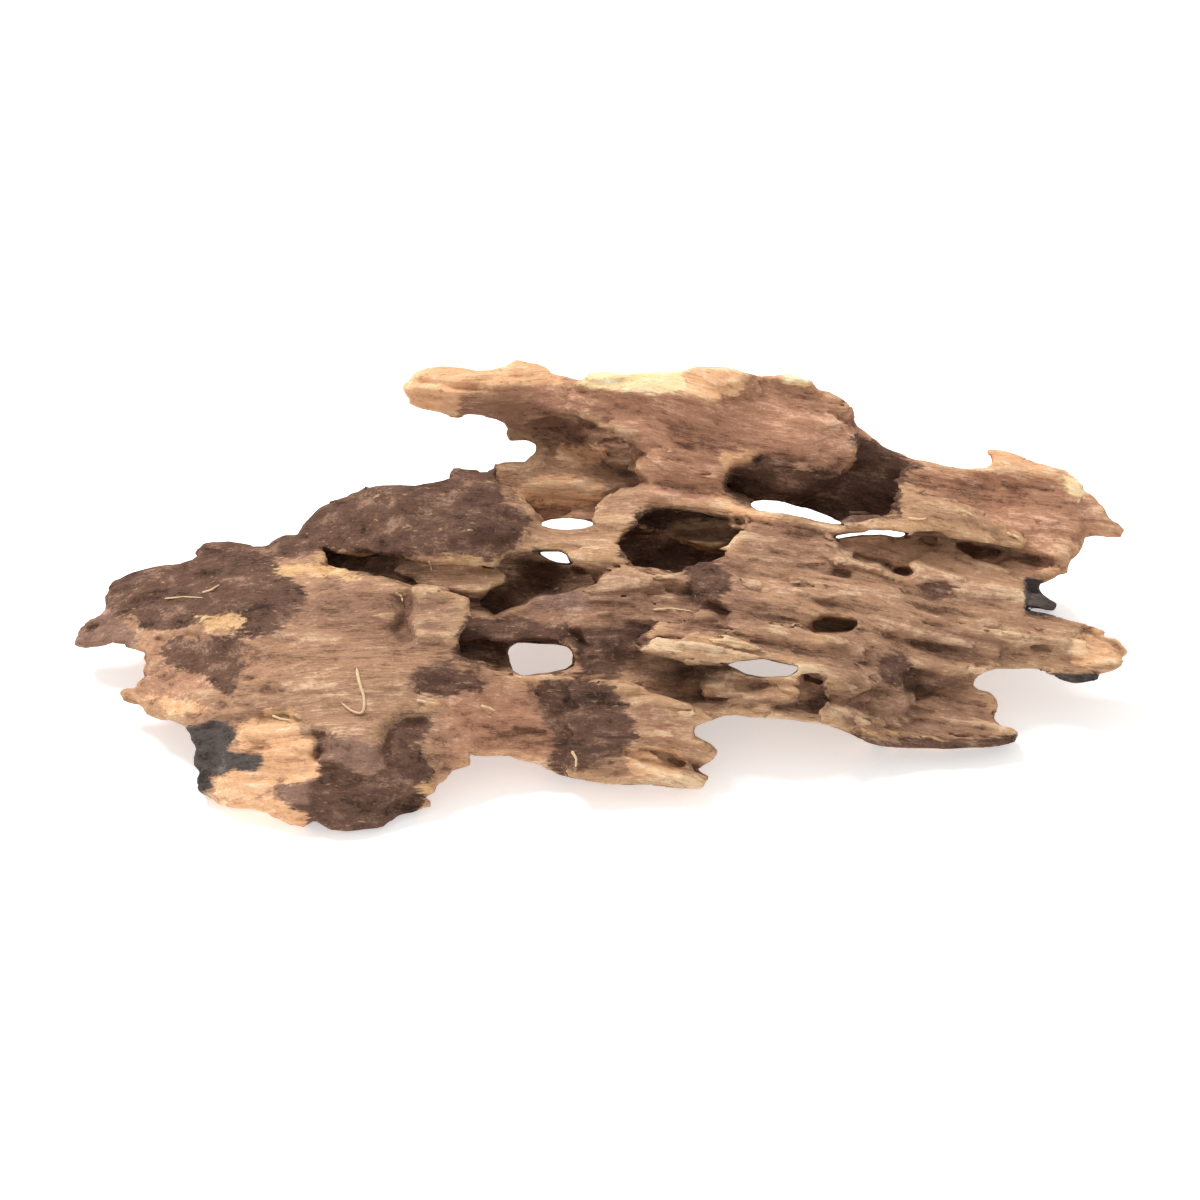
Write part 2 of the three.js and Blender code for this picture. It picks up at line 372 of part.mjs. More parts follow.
const STEPS = [
  {
    layer: 'slab',
    rise: 2.6,
    soft: 1.2,
    outline: [
      [-58, 4.6], [-50.5, 5], [-46.7, 3.2], [-42.3, 2.1], [-39, -0.8], [-39, -6.2], [-42, -9.5],
      [-44, -13.4], [-50, -12], [-56, -12.5], [-58, -6], [-56, -1],
    ],
  },
  {
    layer: 'slab',
    rise: -5,
    soft: 1.2,
    outline: [
      [-63, 1], [-58, 3], [-56.6, -2], [-58, -8], [-57, -13], [-61, -14], [-64, -10], [-61, -4],
    ],
  },
  {
    layer: 'slab',
    rise: -4.5,
    soft: 1.2,
    outline: [
      [-66, -37], [-60, -34.5], [-54, -35], [-52, -38], [-57, -39], [-62, -41], [-63.5, -46],
      [-62, -51], [-65, -52], [-67, -46],
    ],
  },
  {
    layer: 'slab',
    rise: 2.4,
    soft: 2,
    outline: [
      [-64, -46], [-60, -43.5], [-55, -45], [-54, -49], [-57, -52.5], [-62, -51.5],
    ],
  },
  {
    layer: 'slab',
    rise: -5,
    soft: 1.2,
    outline: [
      [-76, -69], [-73.4, -66.6], [-69.5, -65], [-65.1, -62.5], [-62.4, -60.6], [-56, -58], [-46, -58],
      [-46, -80], [-80, -80],
    ],
  },
  {
    layer: 'slab',
    rise: -1.4,
    soft: 1.2,
    outline: [
      [-117, -36], [-108, -34.5], [-98, -33.5], [-92, -36], [-86, -40], [-85, -47], [-88, -53],
      [-98, -56], [-112, -54], [-121, -50], [-124, -40],
    ],
  },
  {
    layer: 'slab',
    rise: -4,
    soft: 1.2,
    outline: [
      [-88, -39.5], [-84.5, -39], [-82, -42], [-83, -47], [-86.5, -50], [-88, -47], [-85.6, -44],
    ],
  },
  {
    layer: 'slab',
    rise: -3.4,
    soft: 1.2,
    outline: [
      [-84, -53], [-77, -54.4], [-71, -52.8], [-66, -54], [-66, -56], [-72, -55.4], [-77, -57.4],
      [-85, -55.6],
    ],
  },
  {
    layer: 'slab',
    rise: 2.4,
    soft: 4,
    outline: [
      [-81, -43], [-74, -41], [-68, -44], [-70, -51], [-78, -51],
    ],
  },
  {
    layer: 'slab',
    rise: 2,
    soft: 1.6,
    outline: [
      [-99, -56.5], [-93, -54.5], [-87.5, -57], [-87.5, -64], [-95, -65.5], [-100, -61],
    ],
  },
  {
    layer: 'slab',
    rise: -2,
    soft: 1.5,
    outline: [
      [-57, -24], [-50, -23], [-46, -25], [-48, -29.5], [-55, -29],
    ],
  },
  {
    layer: 'slab',
    rise: -4,
    soft: 1.2,
    outline: [
      [-21, -27], [-14, -24], [-7, -25], [-6.5, -33], [-12, -37], [-19, -34],
    ],
  },
  {
    layer: 'slab',
    rise: -1.8,
    soft: 1.2,
    outline: [
      [-135, -11], [-124, -10], [-112, -12], [-110, -20], [-114, -29], [-124, -27], [-128, -20],
      [-135, -17],
    ],
  },
  {
    layer: 'plank',
    rise: -3.4,
    soft: 1.2,
    outline: [
      [77.5, 12.2], [81, 11], [84.8, 10.9], [87.5, 9], [89.5, 7.3], [93.5, 6.5], [96.5, 8], [94, 11],
      [98, 14], [104, 17], [100, 19.5], [85, 19], [73, 18.5], [74, 14],
    ],
  },
  {
    layer: 'plank',
    rise: -2,
    soft: 1.2,
    outline: [
      [97.8, 2.8], [99, 4.6], [102.8, 5.5], [106.5, 4.7], [107.8, 2.8], [106.5, 0.9], [102.8, 0.1],
      [99, 1],
    ],
  },
  {
    layer: 'plank',
    rise: 1.6,
    soft: 1.2,
    outline: [
      [104.5, 7.8], [110, 4.2], [119, 5], [128, 5], [130, -2], [150, -8], [140, -14], [120, -12],
      [100, -8], [80, -4], [60, 2], [60, 8], [80, 6], [95, 4],
    ],
  },
  {
    layer: 'plank',
    rise: -1,
    soft: 4,
    outline: [
      [138.1, -14.6], [136.3, -16], [130.8, -18], [122, -18.6], [121, -21.5], [140, -27], [168, -28],
      [168, -8], [150, -9], [142, -11],
    ],
  },
  {
    layer: 'plank',
    rise: -5,
    soft: 1.2,
    outline: [
      [24, 0.5], [30, 0], [36, -1], [40, -3.7], [38, -6.7], [35, -4], [28, -2.2],
    ],
  },
  {
    layer: 'plank',
    rise: -10,
    soft: 1.2,
    outline: [
      [63.9, -8.3], [65.2, -7], [67.2, -5.3], [70.7, -5.2], [77.8, -6.7], [77.3, -8.9], [71.8, -10],
      [65.8, -9.7],
    ],
  },
  {
    layer: 'plank',
    rise: -2.5,
    soft: 2,
    outline: [
      [44, 20], [52, 24], [58, 22], [50, 17], [43, 13],
    ],
  },
  {
    layer: 'plank',
    rise: -1.6,
    soft: 1.2,
    outline: [
      [70, -26], [78, -25], [86, -28], [84, -36], [76, -38], [70, -33],
    ],
  },
  {
    layer: 'bands',
    rise: -5,
    soft: 1.2,
    outline: [
      [60, -21], [68, -22], [70, -27], [70, -35], [65, -36], [61, -31], [63.5, -27], [60, -24.4],
    ],
  },
  {
    layer: 'bands',
    rise: -5,
    soft: 1.2,
    outline: [
      [30, -21.4], [40, -21], [52, -23.6], [60, -23.4], [60, -25], [50, -25.2], [38, -24], [30, -24],
    ],
  },
  {
    layer: 'bands',
    rise: 2.8,
    soft: 1.2,
    outline: [
      [30.8, -24], [44, -24.6], [60, -25], [69, -26], [69, -30], [54, -29.6], [42, -29.8], [31, -30],
    ],
  },
  {
    layer: 'lower',
    rise: -5,
    soft: 1.2,
    outline: [
      [92, -27], [96, -24], [104, -24.5], [110, -23], [113, -22], [112, -26], [104, -28], [96, -31],
    ],
  },
  {
    layer: 'arm',
    rise: 2.6,
    soft: 1.2,
    outline: [
      [-7.9, 65.3], [-3.5, 63.9], [2, 63.1], [4.7, 61.9], [9.6, 63.1], [14.6, 61.5], [24.9, 61.8],
      [30.9, 60.7], [36.4, 60.3], [43, 61.8], [46, 66], [44, 76], [0, 76], [-4, 68],
    ],
  },
  {
    layer: 'arm',
    rise: 1.6,
    soft: 1.2,
    outline: [
      [55, 66], [60, 64.8], [64.5, 65.5], [66, 70], [56, 72],
    ],
  },
  {
    layer: 'wing',
    rise: -0.8,
    soft: 5,
    outline: [
      [103, 32], [108, 36.5], [120, 37], [132, 31], [134, 24], [128, 18], [122, 18], [110, 24],
    ],
  },
  {
    layer: 'flap',
    rise: -2,
    soft: 1.2,
    outline: [
      [7, -46], [14, -45], [22, -46.5], [26, -50], [22, -54], [10, -53],
    ],
  },
  {
    layer: 'scoop',
    rise: 1.4,
    soft: 1.2,
    outline: [
      [-14, 48], [-4, 47.6], [2, 46], [1, 41.6], [-8, 41], [-13, 43],
    ],
  },
  {
    layer: 'deep',
    rise: 13,
    soft: 1.2,
    outline: [
      [6, 25], [12, 25], [17.6, 21.4], [15, 20.6], [10, 21.4], [6, 21.4],
    ],
  },
  {
    layer: 'web',
    rise: -3,
    soft: 2,
    outline: [
      [14, 2], [22, 5], [28, 4], [30, -1], [24, -4], [16, -2],
    ],
  },
  {
    layer: 'plateau',
    rise: -2,
    soft: 3,
    outline: [
      [-60, 30], [-46, 33], [-36, 30], [-40, 24], [-56, 23],
    ],
  },
];

const ROOTS = [
  { from: [58, 50, 54], to: [42, 60, 22], radii: [15, 9] },
  { from: [42, 60, 22], to: [35, 66, -4], radii: [9, 11] },
  { from: [24, 52, 56], to: [27, 62, 26], radii: [12, 9] },
  { from: [27, 62, 26], to: [29, 66, -4], radii: [9, 12] },
  { from: [142, 24, 32], to: [137, 33, 12], radii: [9, 6] },
  { from: [137, 33, 12], to: [134, 37, -3], radii: [6, 7] },
  { from: [126, 26, 26], to: [132, 35, 8], radii: [7, 5] },
];

const KNUCKLES = [
  { from: [-104, -50, 8], to: [-70, -58, 3], radii: [9, 8] },
  { from: [-2, -44, 6], to: [24, -46, 2], radii: [8, 7] },
  { from: [84, -33, 6], to: [122, -31, 2], radii: [7, 6] },
];

const HOLLOWS = [
  { centre: [-92, -20, 4], radii: [30, 13, 15] },
  { centre: [22, 6, 6], radii: [30, 11, 10] },
  { centre: [68, 14, 8], radii: [34, 9, 11] },
  { centre: [84, -12, 3], radii: [28, 8, 10] },
  { centre: [-52, 20, 9], radii: [24, 9, 8] },
  { centre: [112, 18, 14], radii: [20, 8, 8] },
];

const FEET = [
  { centre: [-80, -56], radius: 16 },
  { centre: [6, -45], radius: 12 },
  { centre: [26, -46], radius: 9 },
  { centre: [112, -32], radius: 12 },
  { centre: [31, 66], radius: 16 },
  { centre: [134, 37], radius: 10 },
];


// A repeatable pseudo-random number from -1 to 1 for a grid point.
function hash(x, y, z, seed) {
  let h = Math.imul(x, 374761393) ^ Math.imul(y, 668265263) ^ Math.imul(z, 2147483647);
  h ^= Math.imul(seed, 144665);
  h = Math.imul(h ^ (h >>> 13), 1274126177);
  h = Math.imul(h ^ (h >>> 15), 2246822519);
  return (h >>> 9) * (2 / 8388608) - 1;
}

function ease(t) {
  return t * t * t * (t * (t * 6 - 15) + 10);
}

// Smooth noise from -1 to 1: hashed numbers on a unit grid, blended between.
function noise(x, y, z, seed) {
  const ix = Math.floor(x);
  const iy = Math.floor(y);
  const iz = Math.floor(z);
  const tx = ease(x - ix);
  const ty = ease(y - iy);
  const tz = ease(z - iz);
  const row = (jy, jz) => {
    const a = hash(ix, jy, jz, seed);
    return a + (hash(ix + 1, jy, jz, seed) - a) * tx;
  };
  const sheet = (jz) => {
    const a = row(iy, jz);
    return a + (row(iy + 1, jz) - a) * ty;
  };
  const low = sheet(iz);
  return low + (sheet(iz + 1) - low) * tz;
}

function smoothMax(a, b, r) {
  const h = Math.max(r - Math.abs(a - b), 0);
  return Math.max(a, b) + h * h / (4 * r);
}

function smoothMin(a, b, r) {
  return -smoothMax(-a, -b, r);
}

function smoothStep(t) {
  const s = Math.min(Math.max(t, 0), 1);
  return s * s * (3 - 2 * s);
}

// Distance from a point to an outline, negative inside it.
function outlineDistance(outline, p, q) {
  let best = Infinity;
  let inside = false;
  for (let i = 0; i < outline.length; i += 1) {
    const [ax, ay] = outline[i];
    const [bx, by] = outline[(i + 1) % outline.length];
    const ex = bx - ax;
    const ey = by - ay;
    const wx = p - ax;
    const wy = q - ay;
    const t = Math.min(Math.max((wx * ex + wy * ey) / (ex * ex + ey * ey), 0), 1);
    best = Math.min(best, (wx - t * ex) ** 2 + (wy - t * ey) ** 2);
    if ((ay > q) !== (by > q) && p < ex * (q - ay) / ey + ax) {
      inside = !inside;
    }
  }
  return inside ? -Math.sqrt(best) : Math.sqrt(best);
}

// The point of space seen at [p, q] on the plane and standing depth in front of it.
function toSpace(p, q, depth) {
  const shrink = (EYE_DISTANCE - depth) / EYE_DISTANCE;
  const along = q * shrink;
  return [p * shrink, along * UP - depth * OUT, PLANE_HEIGHT + along * OUT + depth * UP];
}

// The depth at which the point seen at [p, q] stands at height z.
function depthAt(q, z) {
  return (z - PLANE_HEIGHT - q * OUT) / (UP - q * OUT / EYE_DISTANCE);
}

function solve(rows) {
  const n = rows.length;
  for (let i = 0; i < n; i += 1) {
    let pivot = i;
    for (let r = i + 1; r < n; r += 1) {
      if (Math.abs(rows[r][i]) > Math.abs(rows[pivot][i])) {
        pivot = r;
      }
    }
    [rows[i], rows[pivot]] = [rows[pivot], rows[i]];
    for (let r = 0; r < n; r += 1) {
      if (r !== i) {
        const k = rows[r][i] / rows[i][i];
        for (let c = i; c <= n; c += 1) {
          rows[r][c] -= k * rows[i][c];
        }
      }
    }
  }
  return rows.map((row, i) => row[n] / row[i]);
}

// A thin bent sheet through the posts [p, q, height]: returns depth as a function of p and q.
function sheetThrough(posts) {
  const reach = 50;
  const bend = (r2) => 0.5 * r2 * Math.log(r2 + 1e-9);
  const rows = posts.map(([p, q, z], i) => [
    ...posts.map(([a, b], j) => bend(((p - a) ** 2 + (q - b) ** 2) / reach ** 2) + (i === j ? 0.002 : 0)),
    1, p / reach, q / reach, depthAt(q, z),
  ]);
  for (const pick of [() => 1, (post) => post[0] / reach, (post) => post[1] / reach]) {
    rows.push([...posts.map(pick), 0, 0, 0, 0]);
  }
  const w = solve(rows);
  const n = posts.length;
  return (p, q) => posts.reduce(
    (sum, [a, b], i) => sum + w[i] * bend(((p - a) ** 2 + (q - b) ** 2) / reach ** 2),
    w[n] + w[n + 1] * p / reach + w[n + 2] * q / reach,
  );
}

function limbDistance({ from, to, radii }, x, y, z) {
  const ax = to[0] - from[0];
  const ay = to[1] - from[1];
  const az = to[2] - from[2];
  const along = (x - from[0]) * ax + (y - from[1]) * ay + (z - from[2]) * az;
  const t = Math.min(Math.max(along / (ax * ax + ay * ay + az * az), 0), 1);
  const off = Math.hypot(x - from[0] - t * ax, y - from[1] - t * ay, z - from[2] - t * az);
  return off - radii[0] - t * (radii[1] - radii[0]);
}

function ruler([from, to], step) {
  const count = Math.ceil((to - from) / step) + 1;
  return Array.from({ length: count }, (_, i) => from + i * step);
}

// The wood as a field on a grid of the leaning plane and its depth: negative inside the wood.
function woodField() {
  const ps = ruler(PLANE_RANGE[0], GRID[0]);
  const qs = ruler(PLANE_RANGE[1], GRID[1]);
  const ds = ruler(DEPTH_RANGE, GRID[2]);
  const size = [ps.length, qs.length, ds.length];
  const field = new Float64Array(size[0] * size[1] * size[2]).fill(9);
  const lumps = new Float64Array(field.length);
  const furrows = new Float64Array(field.length);
  const node = (i, j, k) => (i * size[1] + j) * size[2] + k;
  const eachNode = (visit) => {
    for (let i = 0; i < size[0]; i += 1) {
      for (let j = 0; j < size[1]; j += 1) {
        for (let k = 0; k < size[2]; k += 1) {
          visit(node(i, j, k), toSpace(ps[i], qs[j], ds[k]), i, j);
        }
      }
    }
  };
  eachNode((n, [x, y, z]) => {
    lumps[n] = LUMP_HEIGHT * noise(x / LUMP_LONG, y / LUMP_ACROSS, z / LUMP_ACROSS, 1)
      + KNOT_HEIGHT * noise(x / KNOT_LONG, y / KNOT_ACROSS, z / KNOT_ACROSS, 2);
    furrows[n] = 1.3 * lumps[n]
      + FURROW_HEIGHT * noise(x / FURROW_LONG, y / FURROW_ACROSS, z / FURROW_ACROSS, 5);
  });
  const edges = ps.map((p) => qs.map((q) => outlineDistance(SILHOUETTE, p, q)));
  const holes = ps.map((p) => qs.map((q) => Math.min(...HOLES.map((h) => outlineDistance(h, p, q)))));

  for (const [name, layer] of Object.entries(LAYERS)) {
    const face = sheetThrough(layer.posts);
    const steps = STEPS.filter((step) => step.layer === name);
    for (let i = 0; i < size[0]; i += 1) {
      for (let j = 0; j < size[1]; j += 1) {
        const p = ps[i];
        const q = qs[j];
        const rim = edges[i][j] > 4 ? 5 : Math.max(outlineDistance(layer.outline, p, q), edges[i][j]);
        if (rim > 4) {
          continue;
        }
        const front = face(p, q);
        const slope = Math.hypot(1, face(p + 1, q) - front, face(p, q + 1) - front);
        const inward = smoothStep(-rim / TAPER);
        const back = front - layer.rim - (layer.thick - layer.rim) * inward;
        const rough = 0.3 + 0.7 * inward;
        let rise = 0;
        for (const step of steps) {
          rise += step.rise * smoothStep(0.5 - outlineDistance(step.outline, p, q) / (2 * step.soft));
        }
        for (let k = 0; k < size[2]; k += 1) {
          const n = node(i, j, k);
          const above = (ds[k] - front - rise) / slope + lumps[n] * rough;
          const below = (back - ds[k]) / slope - furrows[n] * rough;
          const shell = smoothMax(smoothMax(above, rim, layer.frontRound), below, layer.backRound);
          field[n] = smoothMin(field[n], shell, LAYER_JOIN);
        }
      }
    }
  }

  eachNode((n, [x, y, z], i, j) => {
    let f = field[n];
    let root = Infinity;
    for (const limb of ROOTS) {
      const far = limbDistance(limb, x, y, z);
      root = root === Infinity ? far : smoothMin(root, far, 7);
    }
    f = smoothMin(f, root + 1.6 * lumps[n], ROOT_JOIN);
    for (const limb of KNUCKLES) {
      f = smoothMin(f, limbDistance(limb, x, y, z) + lumps[n], KNUCKLE_JOIN);
    }
    for (const { centre, radii } of HOLLOWS) {
      const out = Math.hypot(
        (x - centre[0]) / radii[0],
        (y - centre[1]) / radii[1],
        (z - centre[2]) / radii[2],
      );
      f = smoothMax(f, (1 - out) * Math.min(...radii) - lumps[n], KNUCKLE_JOIN);
    }
    let ground = GROUND_LIFT + GROUND_SWELL * noise(x / 34, y / 15, 0, 9);
    for (const { centre, radius } of FEET) {
      ground -= FOOT_DROP * Math.exp(-((x - centre[0]) ** 2 + (y - centre[1]) ** 2) / radius ** 2);
    }
    f = smoothMax(f, ground - z, GROUND_SOFT);
    const grain = noise(x / GRAIN_LONG, y / GRAIN_ACROSS, z / GRAIN_ACROSS, 3);
    f += GRAIN_HEIGHT * (1 - 2 * Math.abs(grain));
    field[n] = Math.max(f, -holes[i][j], edges[i][j] - 0.2);
  });
  return { field, size, ps, qs, ds, node };
}

// The closed skin of the field where it is zero: six four-cornered cells in every box of the grid.
function skinOf({ field, size, ps, qs, ds, node }) {
  const cells = [[0, 1, 3, 7], [0, 3, 2, 7], [0, 2, 6, 7], [0, 6, 4, 7], [0, 4, 5, 7], [0, 5, 1, 7]];
  const points = [];
  const faces = [];
  const made = new Map();
  const corner = (i, j, k, c) => [i + (c & 1), j + ((c >> 1) & 1), k + (c >> 2)];
  const crossing = (i, j, k, a, b) => {
    const [low, high] = a < b ? [a, b] : [b, a];
    const from = corner(i, j, k, low);
    const key = node(...from) * 8 + (low ^ high);
    if (!made.has(key)) {
      const to = corner(i, j, k, high);
      const fa = field[node(...from)];
      const fb = field[node(...to)];
      const t = Math.min(Math.max(fa / (fa - fb), 0.04), 0.96);
      const mix = (axis, rule) => rule[from[axis]] + t * (rule[to[axis]] - rule[from[axis]]);
      made.set(key, points.length);
      points.push(toSpace(mix(0, ps), mix(1, qs), mix(2, ds)));
    }
    return made.get(key);
  };
  const addFace = (a, b, c, inner) => {
    const [u, v, w, o] = [points[a], points[b], points[c], inner];
    const e = [v[0] - u[0], v[1] - u[1], v[2] - u[2]];
    const g = [w[0] - u[0], w[1] - u[1], w[2] - u[2]];
    const outward = (e[1] * g[2] - e[2] * g[1]) * (u[0] - o[0])
      + (e[2] * g[0] - e[0] * g[2]) * (u[1] - o[1])
      + (e[0] * g[1] - e[1] * g[0]) * (u[2] - o[2]);
    faces.push(outward > 0 ? [a, b, c] : [a, c, b]);
  };
  for (let i = 0; i < size[0] - 1; i += 1) {
    for (let j = 0; j < size[1] - 1; j += 1) {
      for (let k = 0; k < size[2] - 1; k += 1) {
        const full = [];
        for (let c = 0; c < 8; c += 1) {
          full.push(field[node(...corner(i, j, k, c))] < 0);
        }
        if (full.every((v) => v) || full.every((v) => !v)) {
          continue;
        }
        for (const cell of cells) {
          const inside = cell.filter((c) => full[c]);
          const outside = cell.filter((c) => !full[c]);
          if (inside.length === 0 || outside.length === 0) {
            continue;
          }
          const at = corner(i, j, k, inside[0]);
          const inner = toSpace(ps[at[0]], qs[at[1]], ds[at[2]]);
          const cut = (a, b) => crossing(i, j, k, a, b);
          if (inside.length === 1) {
            addFace(...outside.map((c) => cut(inside[0], c)), inner);
          } else if (inside.length === 3) {
            addFace(...inside.map((c) => cut(c, outside[0])), inner);
          } else {
            const ring = [
              cut(inside[0], outside[0]), cut(inside[0], outside[1]),
              cut(inside[1], outside[1]), cut(inside[1], outside[0]),
            ];
            addFace(ring[0], ring[1], ring[2], inner);
            addFace(ring[0], ring[2], ring[3], inner);
          }
        }
      }
    }
  }
  return { points, faces };
}

// The largest connected skin; loose crumbs are dropped.
function largestBody({ points, faces }) {
  const parent = points.map((_, i) => i);
  const find = (i) => {
    let r = i;
    while (parent[r] !== r) {
      parent[r] = parent[parent[r]];
      r = parent[r];
    }
    return r;
  };
  for (const [a, b, c] of faces) {
    parent[find(a)] = find(b);
    parent[find(b)] = find(c);
  }
  const count = new Map();
  for (const [a] of faces) {
    count.set(find(a), (count.get(find(a)) ?? 0) + 1);
  }
  const most = [...count.entries()].sort((m, n) => n[1] - m[1])[0][0];
  return { points, faces: faces.filter(([a]) => find(a) === most) };
}

class Queue {
  constructor() {
    this.items = [];
  }

  push(item) {
    const a = this.items;
    let i = a.length;
    a.push(item);
    while (i > 0) {
      const up = (i - 1) >> 1;
      if (a[up].cost <= item.cost) {
        break;
      }
      a[i] = a[up];
      i = up;
    }
    a[i] = item;
  }

  pop() {
    const a = this.items;
    const top = a[0];
    const last = a.pop();
    if (a.length > 0) {
      let i = 0;
      for (;;) {
        let down = 2 * i + 1;
        if (down >= a.length) {
          break;
        }
        if (down + 1 < a.length && a[down + 1].cost < a[down].cost) {
          down += 1;
        }
        if (last.cost <= a[down].cost) {
          break;
        }
        a[i] = a[down];
        i = down;
      }
      a[i] = last;
    }
    return top;
  }
}

// Fewer triangles: edges are closed up one at a time, those that move the skin least going first.
// A corner carries the sum of the squared distances to the planes of its faces (ten numbers).
function simplify({ points, faces }, limit) {
  const quadrics = points.map(() => new Float64Array(10));
  const around = points.map(() => new Set());
  const alive = new Uint8Array(faces.length).fill(1);
  const stamp = new Uint32Array(points.length);
  const normalOf = (a, b, c) => {
    const e = [b[0] - a[0], b[1] - a[1], b[2] - a[2]];
    const g = [c[0] - a[0], c[1] - a[1], c[2] - a[2]];
    return [e[1] * g[2] - e[2] * g[1], e[2] * g[0] - e[0] * g[2], e[0] * g[1] - e[1] * g[0]];
  };
  faces.forEach((face, f) => {
    const [a, b, c] = face.map((i) => points[i]);
    const n = normalOf(a, b, c);
    const area = Math.hypot(...n) + 1e-12;
    const [nx, ny, nz] = n.map((v) => v / area);
    const d = -(nx * a[0] + ny * a[1] + nz * a[2]);
    const own = [nx * nx, nx * ny, nx * nz, nx * d, ny * ny, ny * nz, ny * d, nz * nz, nz * d, d * d];
    for (const i of face) {
      around[i].add(f);
      own.forEach((v, k) => {
        quadrics[i][k] += v * area;
      });
    }
  });
  const errorAt = (m, [x, y, z]) => m[0] * x * x + 2 * m[1] * x * y + 2 * m[2] * x * z + 2 * m[3] * x
    + m[4] * y * y + 2 * m[5] * y * z + 2 * m[6] * y + m[7] * z * z + 2 * m[8] * z + m[9];
  const best = (a, b) => {
    const m = quadrics[a].map((v, k) => v + quadrics[b][k]);
    const mid = points[a].map((v, k) => (v + points[b][k]) / 2);
    const weight = 0.002 * (m[0] + m[4] + m[7]);
    const A = [m[0] + weight, m[1], m[2], m[4] + weight, m[5], m[7] + weight];
    const r = [weight * mid[0] - m[3], weight * mid[1] - m[6], weight * mid[2] - m[8]];
    const c0 = A[3] * A[5] - A[4] * A[4];
    const c1 = A[2] * A[4] - A[1] * A[5];
    const c2 = A[1] * A[4] - A[2] * A[3];
    const det = A[0] * c0 + A[1] * c1 + A[2] * c2;
    const c3 = A[0] * A[5] - A[2] * A[2];
    const c4 = A[1] * A[2] - A[0] * A[4];
    const c5 = A[0] * A[3] - A[1] * A[1];
    const at = [
      (c0 * r[0] + c1 * r[1] + c2 * r[2]) / det,
      (c1 * r[0] + c3 * r[1] + c4 * r[2]) / det,
      (c2 * r[0] + c4 * r[1] + c5 * r[2]) / det,
    ];
    const length = Math.hypot(...points[a].map((v, k) => v - points[b][k]));
    const moved = Math.hypot(...at.map((v, k) => v - mid[k]));
    const target = Number.isFinite(moved) && moved < 2 * length ? at : mid;
    return { at: target, cost: Math.max(errorAt(m, target), 0) + 1e-5 * length ** 3 };
  };
  const queue = new Queue();
  const offer = (a, b) => {
    const { at, cost } = best(a, b);
    queue.push({ cost, a, b, at, stamps: stamp[a] + stamp[b] });
  };
  const neighbours = (v) => {
    const out = new Set();
    for (const f of around[v]) {
      faces[f].forEach((i) => i !== v && out.add(i));
    }
    return out;
  };
  for (const [a, b, c] of faces) {
    for (const [u, v] of [[a, b], [b, c], [c, a]]) {
      if (u < v) {
        offer(u, v);
      }
    }
  }
  const folds = (v, other, at) => {
    for (const f of around[v]) {
      if (around[other].has(f)) {
        continue;
      }
      const before = faces[f].map((i) => points[i]);
      const after = faces[f].map((i) => (i === v ? at : points[i]));
      const m = normalOf(...before);
      const n = normalOf(...after);
      const size = Math.hypot(...m) * Math.hypot(...n) + 1e-12;
      const longest = Math.max(...[0, 1, 2].map((k) => Math.hypot(
        after[k][0] - after[(k + 1) % 3][0],
        after[k][1] - after[(k + 1) % 3][1],
        after[k][2] - after[(k + 1) % 3][2],
      )));
      if ((m[0] * n[0] + m[1] * n[1] + m[2] * n[2]) / size < 0.3) {
        return true;
      }
      if (Math.hypot(...n) < 0.02 * longest * longest) {
        return true;
      }
    }
    return false;
  };
  let left = faces.length;
  while (left > limit && queue.items.length > 0) {
    const { a, b, at, stamps } = queue.pop();
    if (stamp[a] + stamp[b] !== stamps || around[a].size === 0 || around[b].size === 0) {
      continue;
    }
    const nearA = neighbours(a);
    const nearB = neighbours(b);
    const shared = [...nearA].filter((i) => nearB.has(i));
    const crowded = nearA.size + nearB.size > 18;
    if (!nearA.has(b) || shared.length !== 2 || crowded || folds(a, b, at) || folds(b, a, at)) {
      continue;
    }
    points[a] = at;
    quadrics[b].forEach((v, k) => {
      quadrics[a][k] += v;
    });
    for (const f of [...around[b]]) {
      if (around[a].has(f)) {
        faces[f].forEach((i) => around[i].delete(f));
        alive[f] = 0;
        left -= 1;
      } else {
        faces[f] = faces[f].map((i) => (i === b ? a : i));
        around[a].add(f);
      }
    }
    around[b].clear();
    for (const i of neighbours(a)) {
      stamp[i] += 1;
    }
    stamp[a] += 1;
    const touched = new Set();
    for (const i of neighbours(a)) {
      for (const j of neighbours(i)) {
        const key = i < j ? `${i},${j}` : `${j},${i}`;
        if (!touched.has(key)) {
          touched.add(key);
          offer(i, j);
        }
      }
    }
  }
  return { points, faces: faces.filter((_, f) => alive[f]) };
}

function toManifold({ points, faces }) {
  const index = new Map();
  const coordinates = [];
  const corners = [];
  for (const face of faces) {
    for (const i of face) {
      if (!index.has(i)) {
        index.set(i, index.size);
        coordinates.push(...points[i]);
      }
      corners.push(index.get(i));
    }
  }
  return new wasm.Manifold(new wasm.Mesh({
    numProp: 3,
    vertProperties: Float32Array.from(coordinates),
    triVerts: Uint32Array.from(corners),
  }));
}

// A block below the ground, taken off so that the feet stand flat.
function blockBelowGround() {
  const reach = 400;
  const points = [];
  for (const z of [-100, 0]) {
    points.push([-reach, -reach, z], [reach, -reach, z], [reach, reach, z], [-reach, reach, z]);
  }
  const faces = [
    [0, 2, 1], [0, 3, 2], [4, 5, 6], [4, 6, 7],
    [0, 1, 5], [0, 5, 4], [1, 2, 6], [1, 6, 5],
    [2, 3, 7], [2, 7, 6], [3, 0, 4], [3, 4, 7],
  ];
  return { points, faces };
}

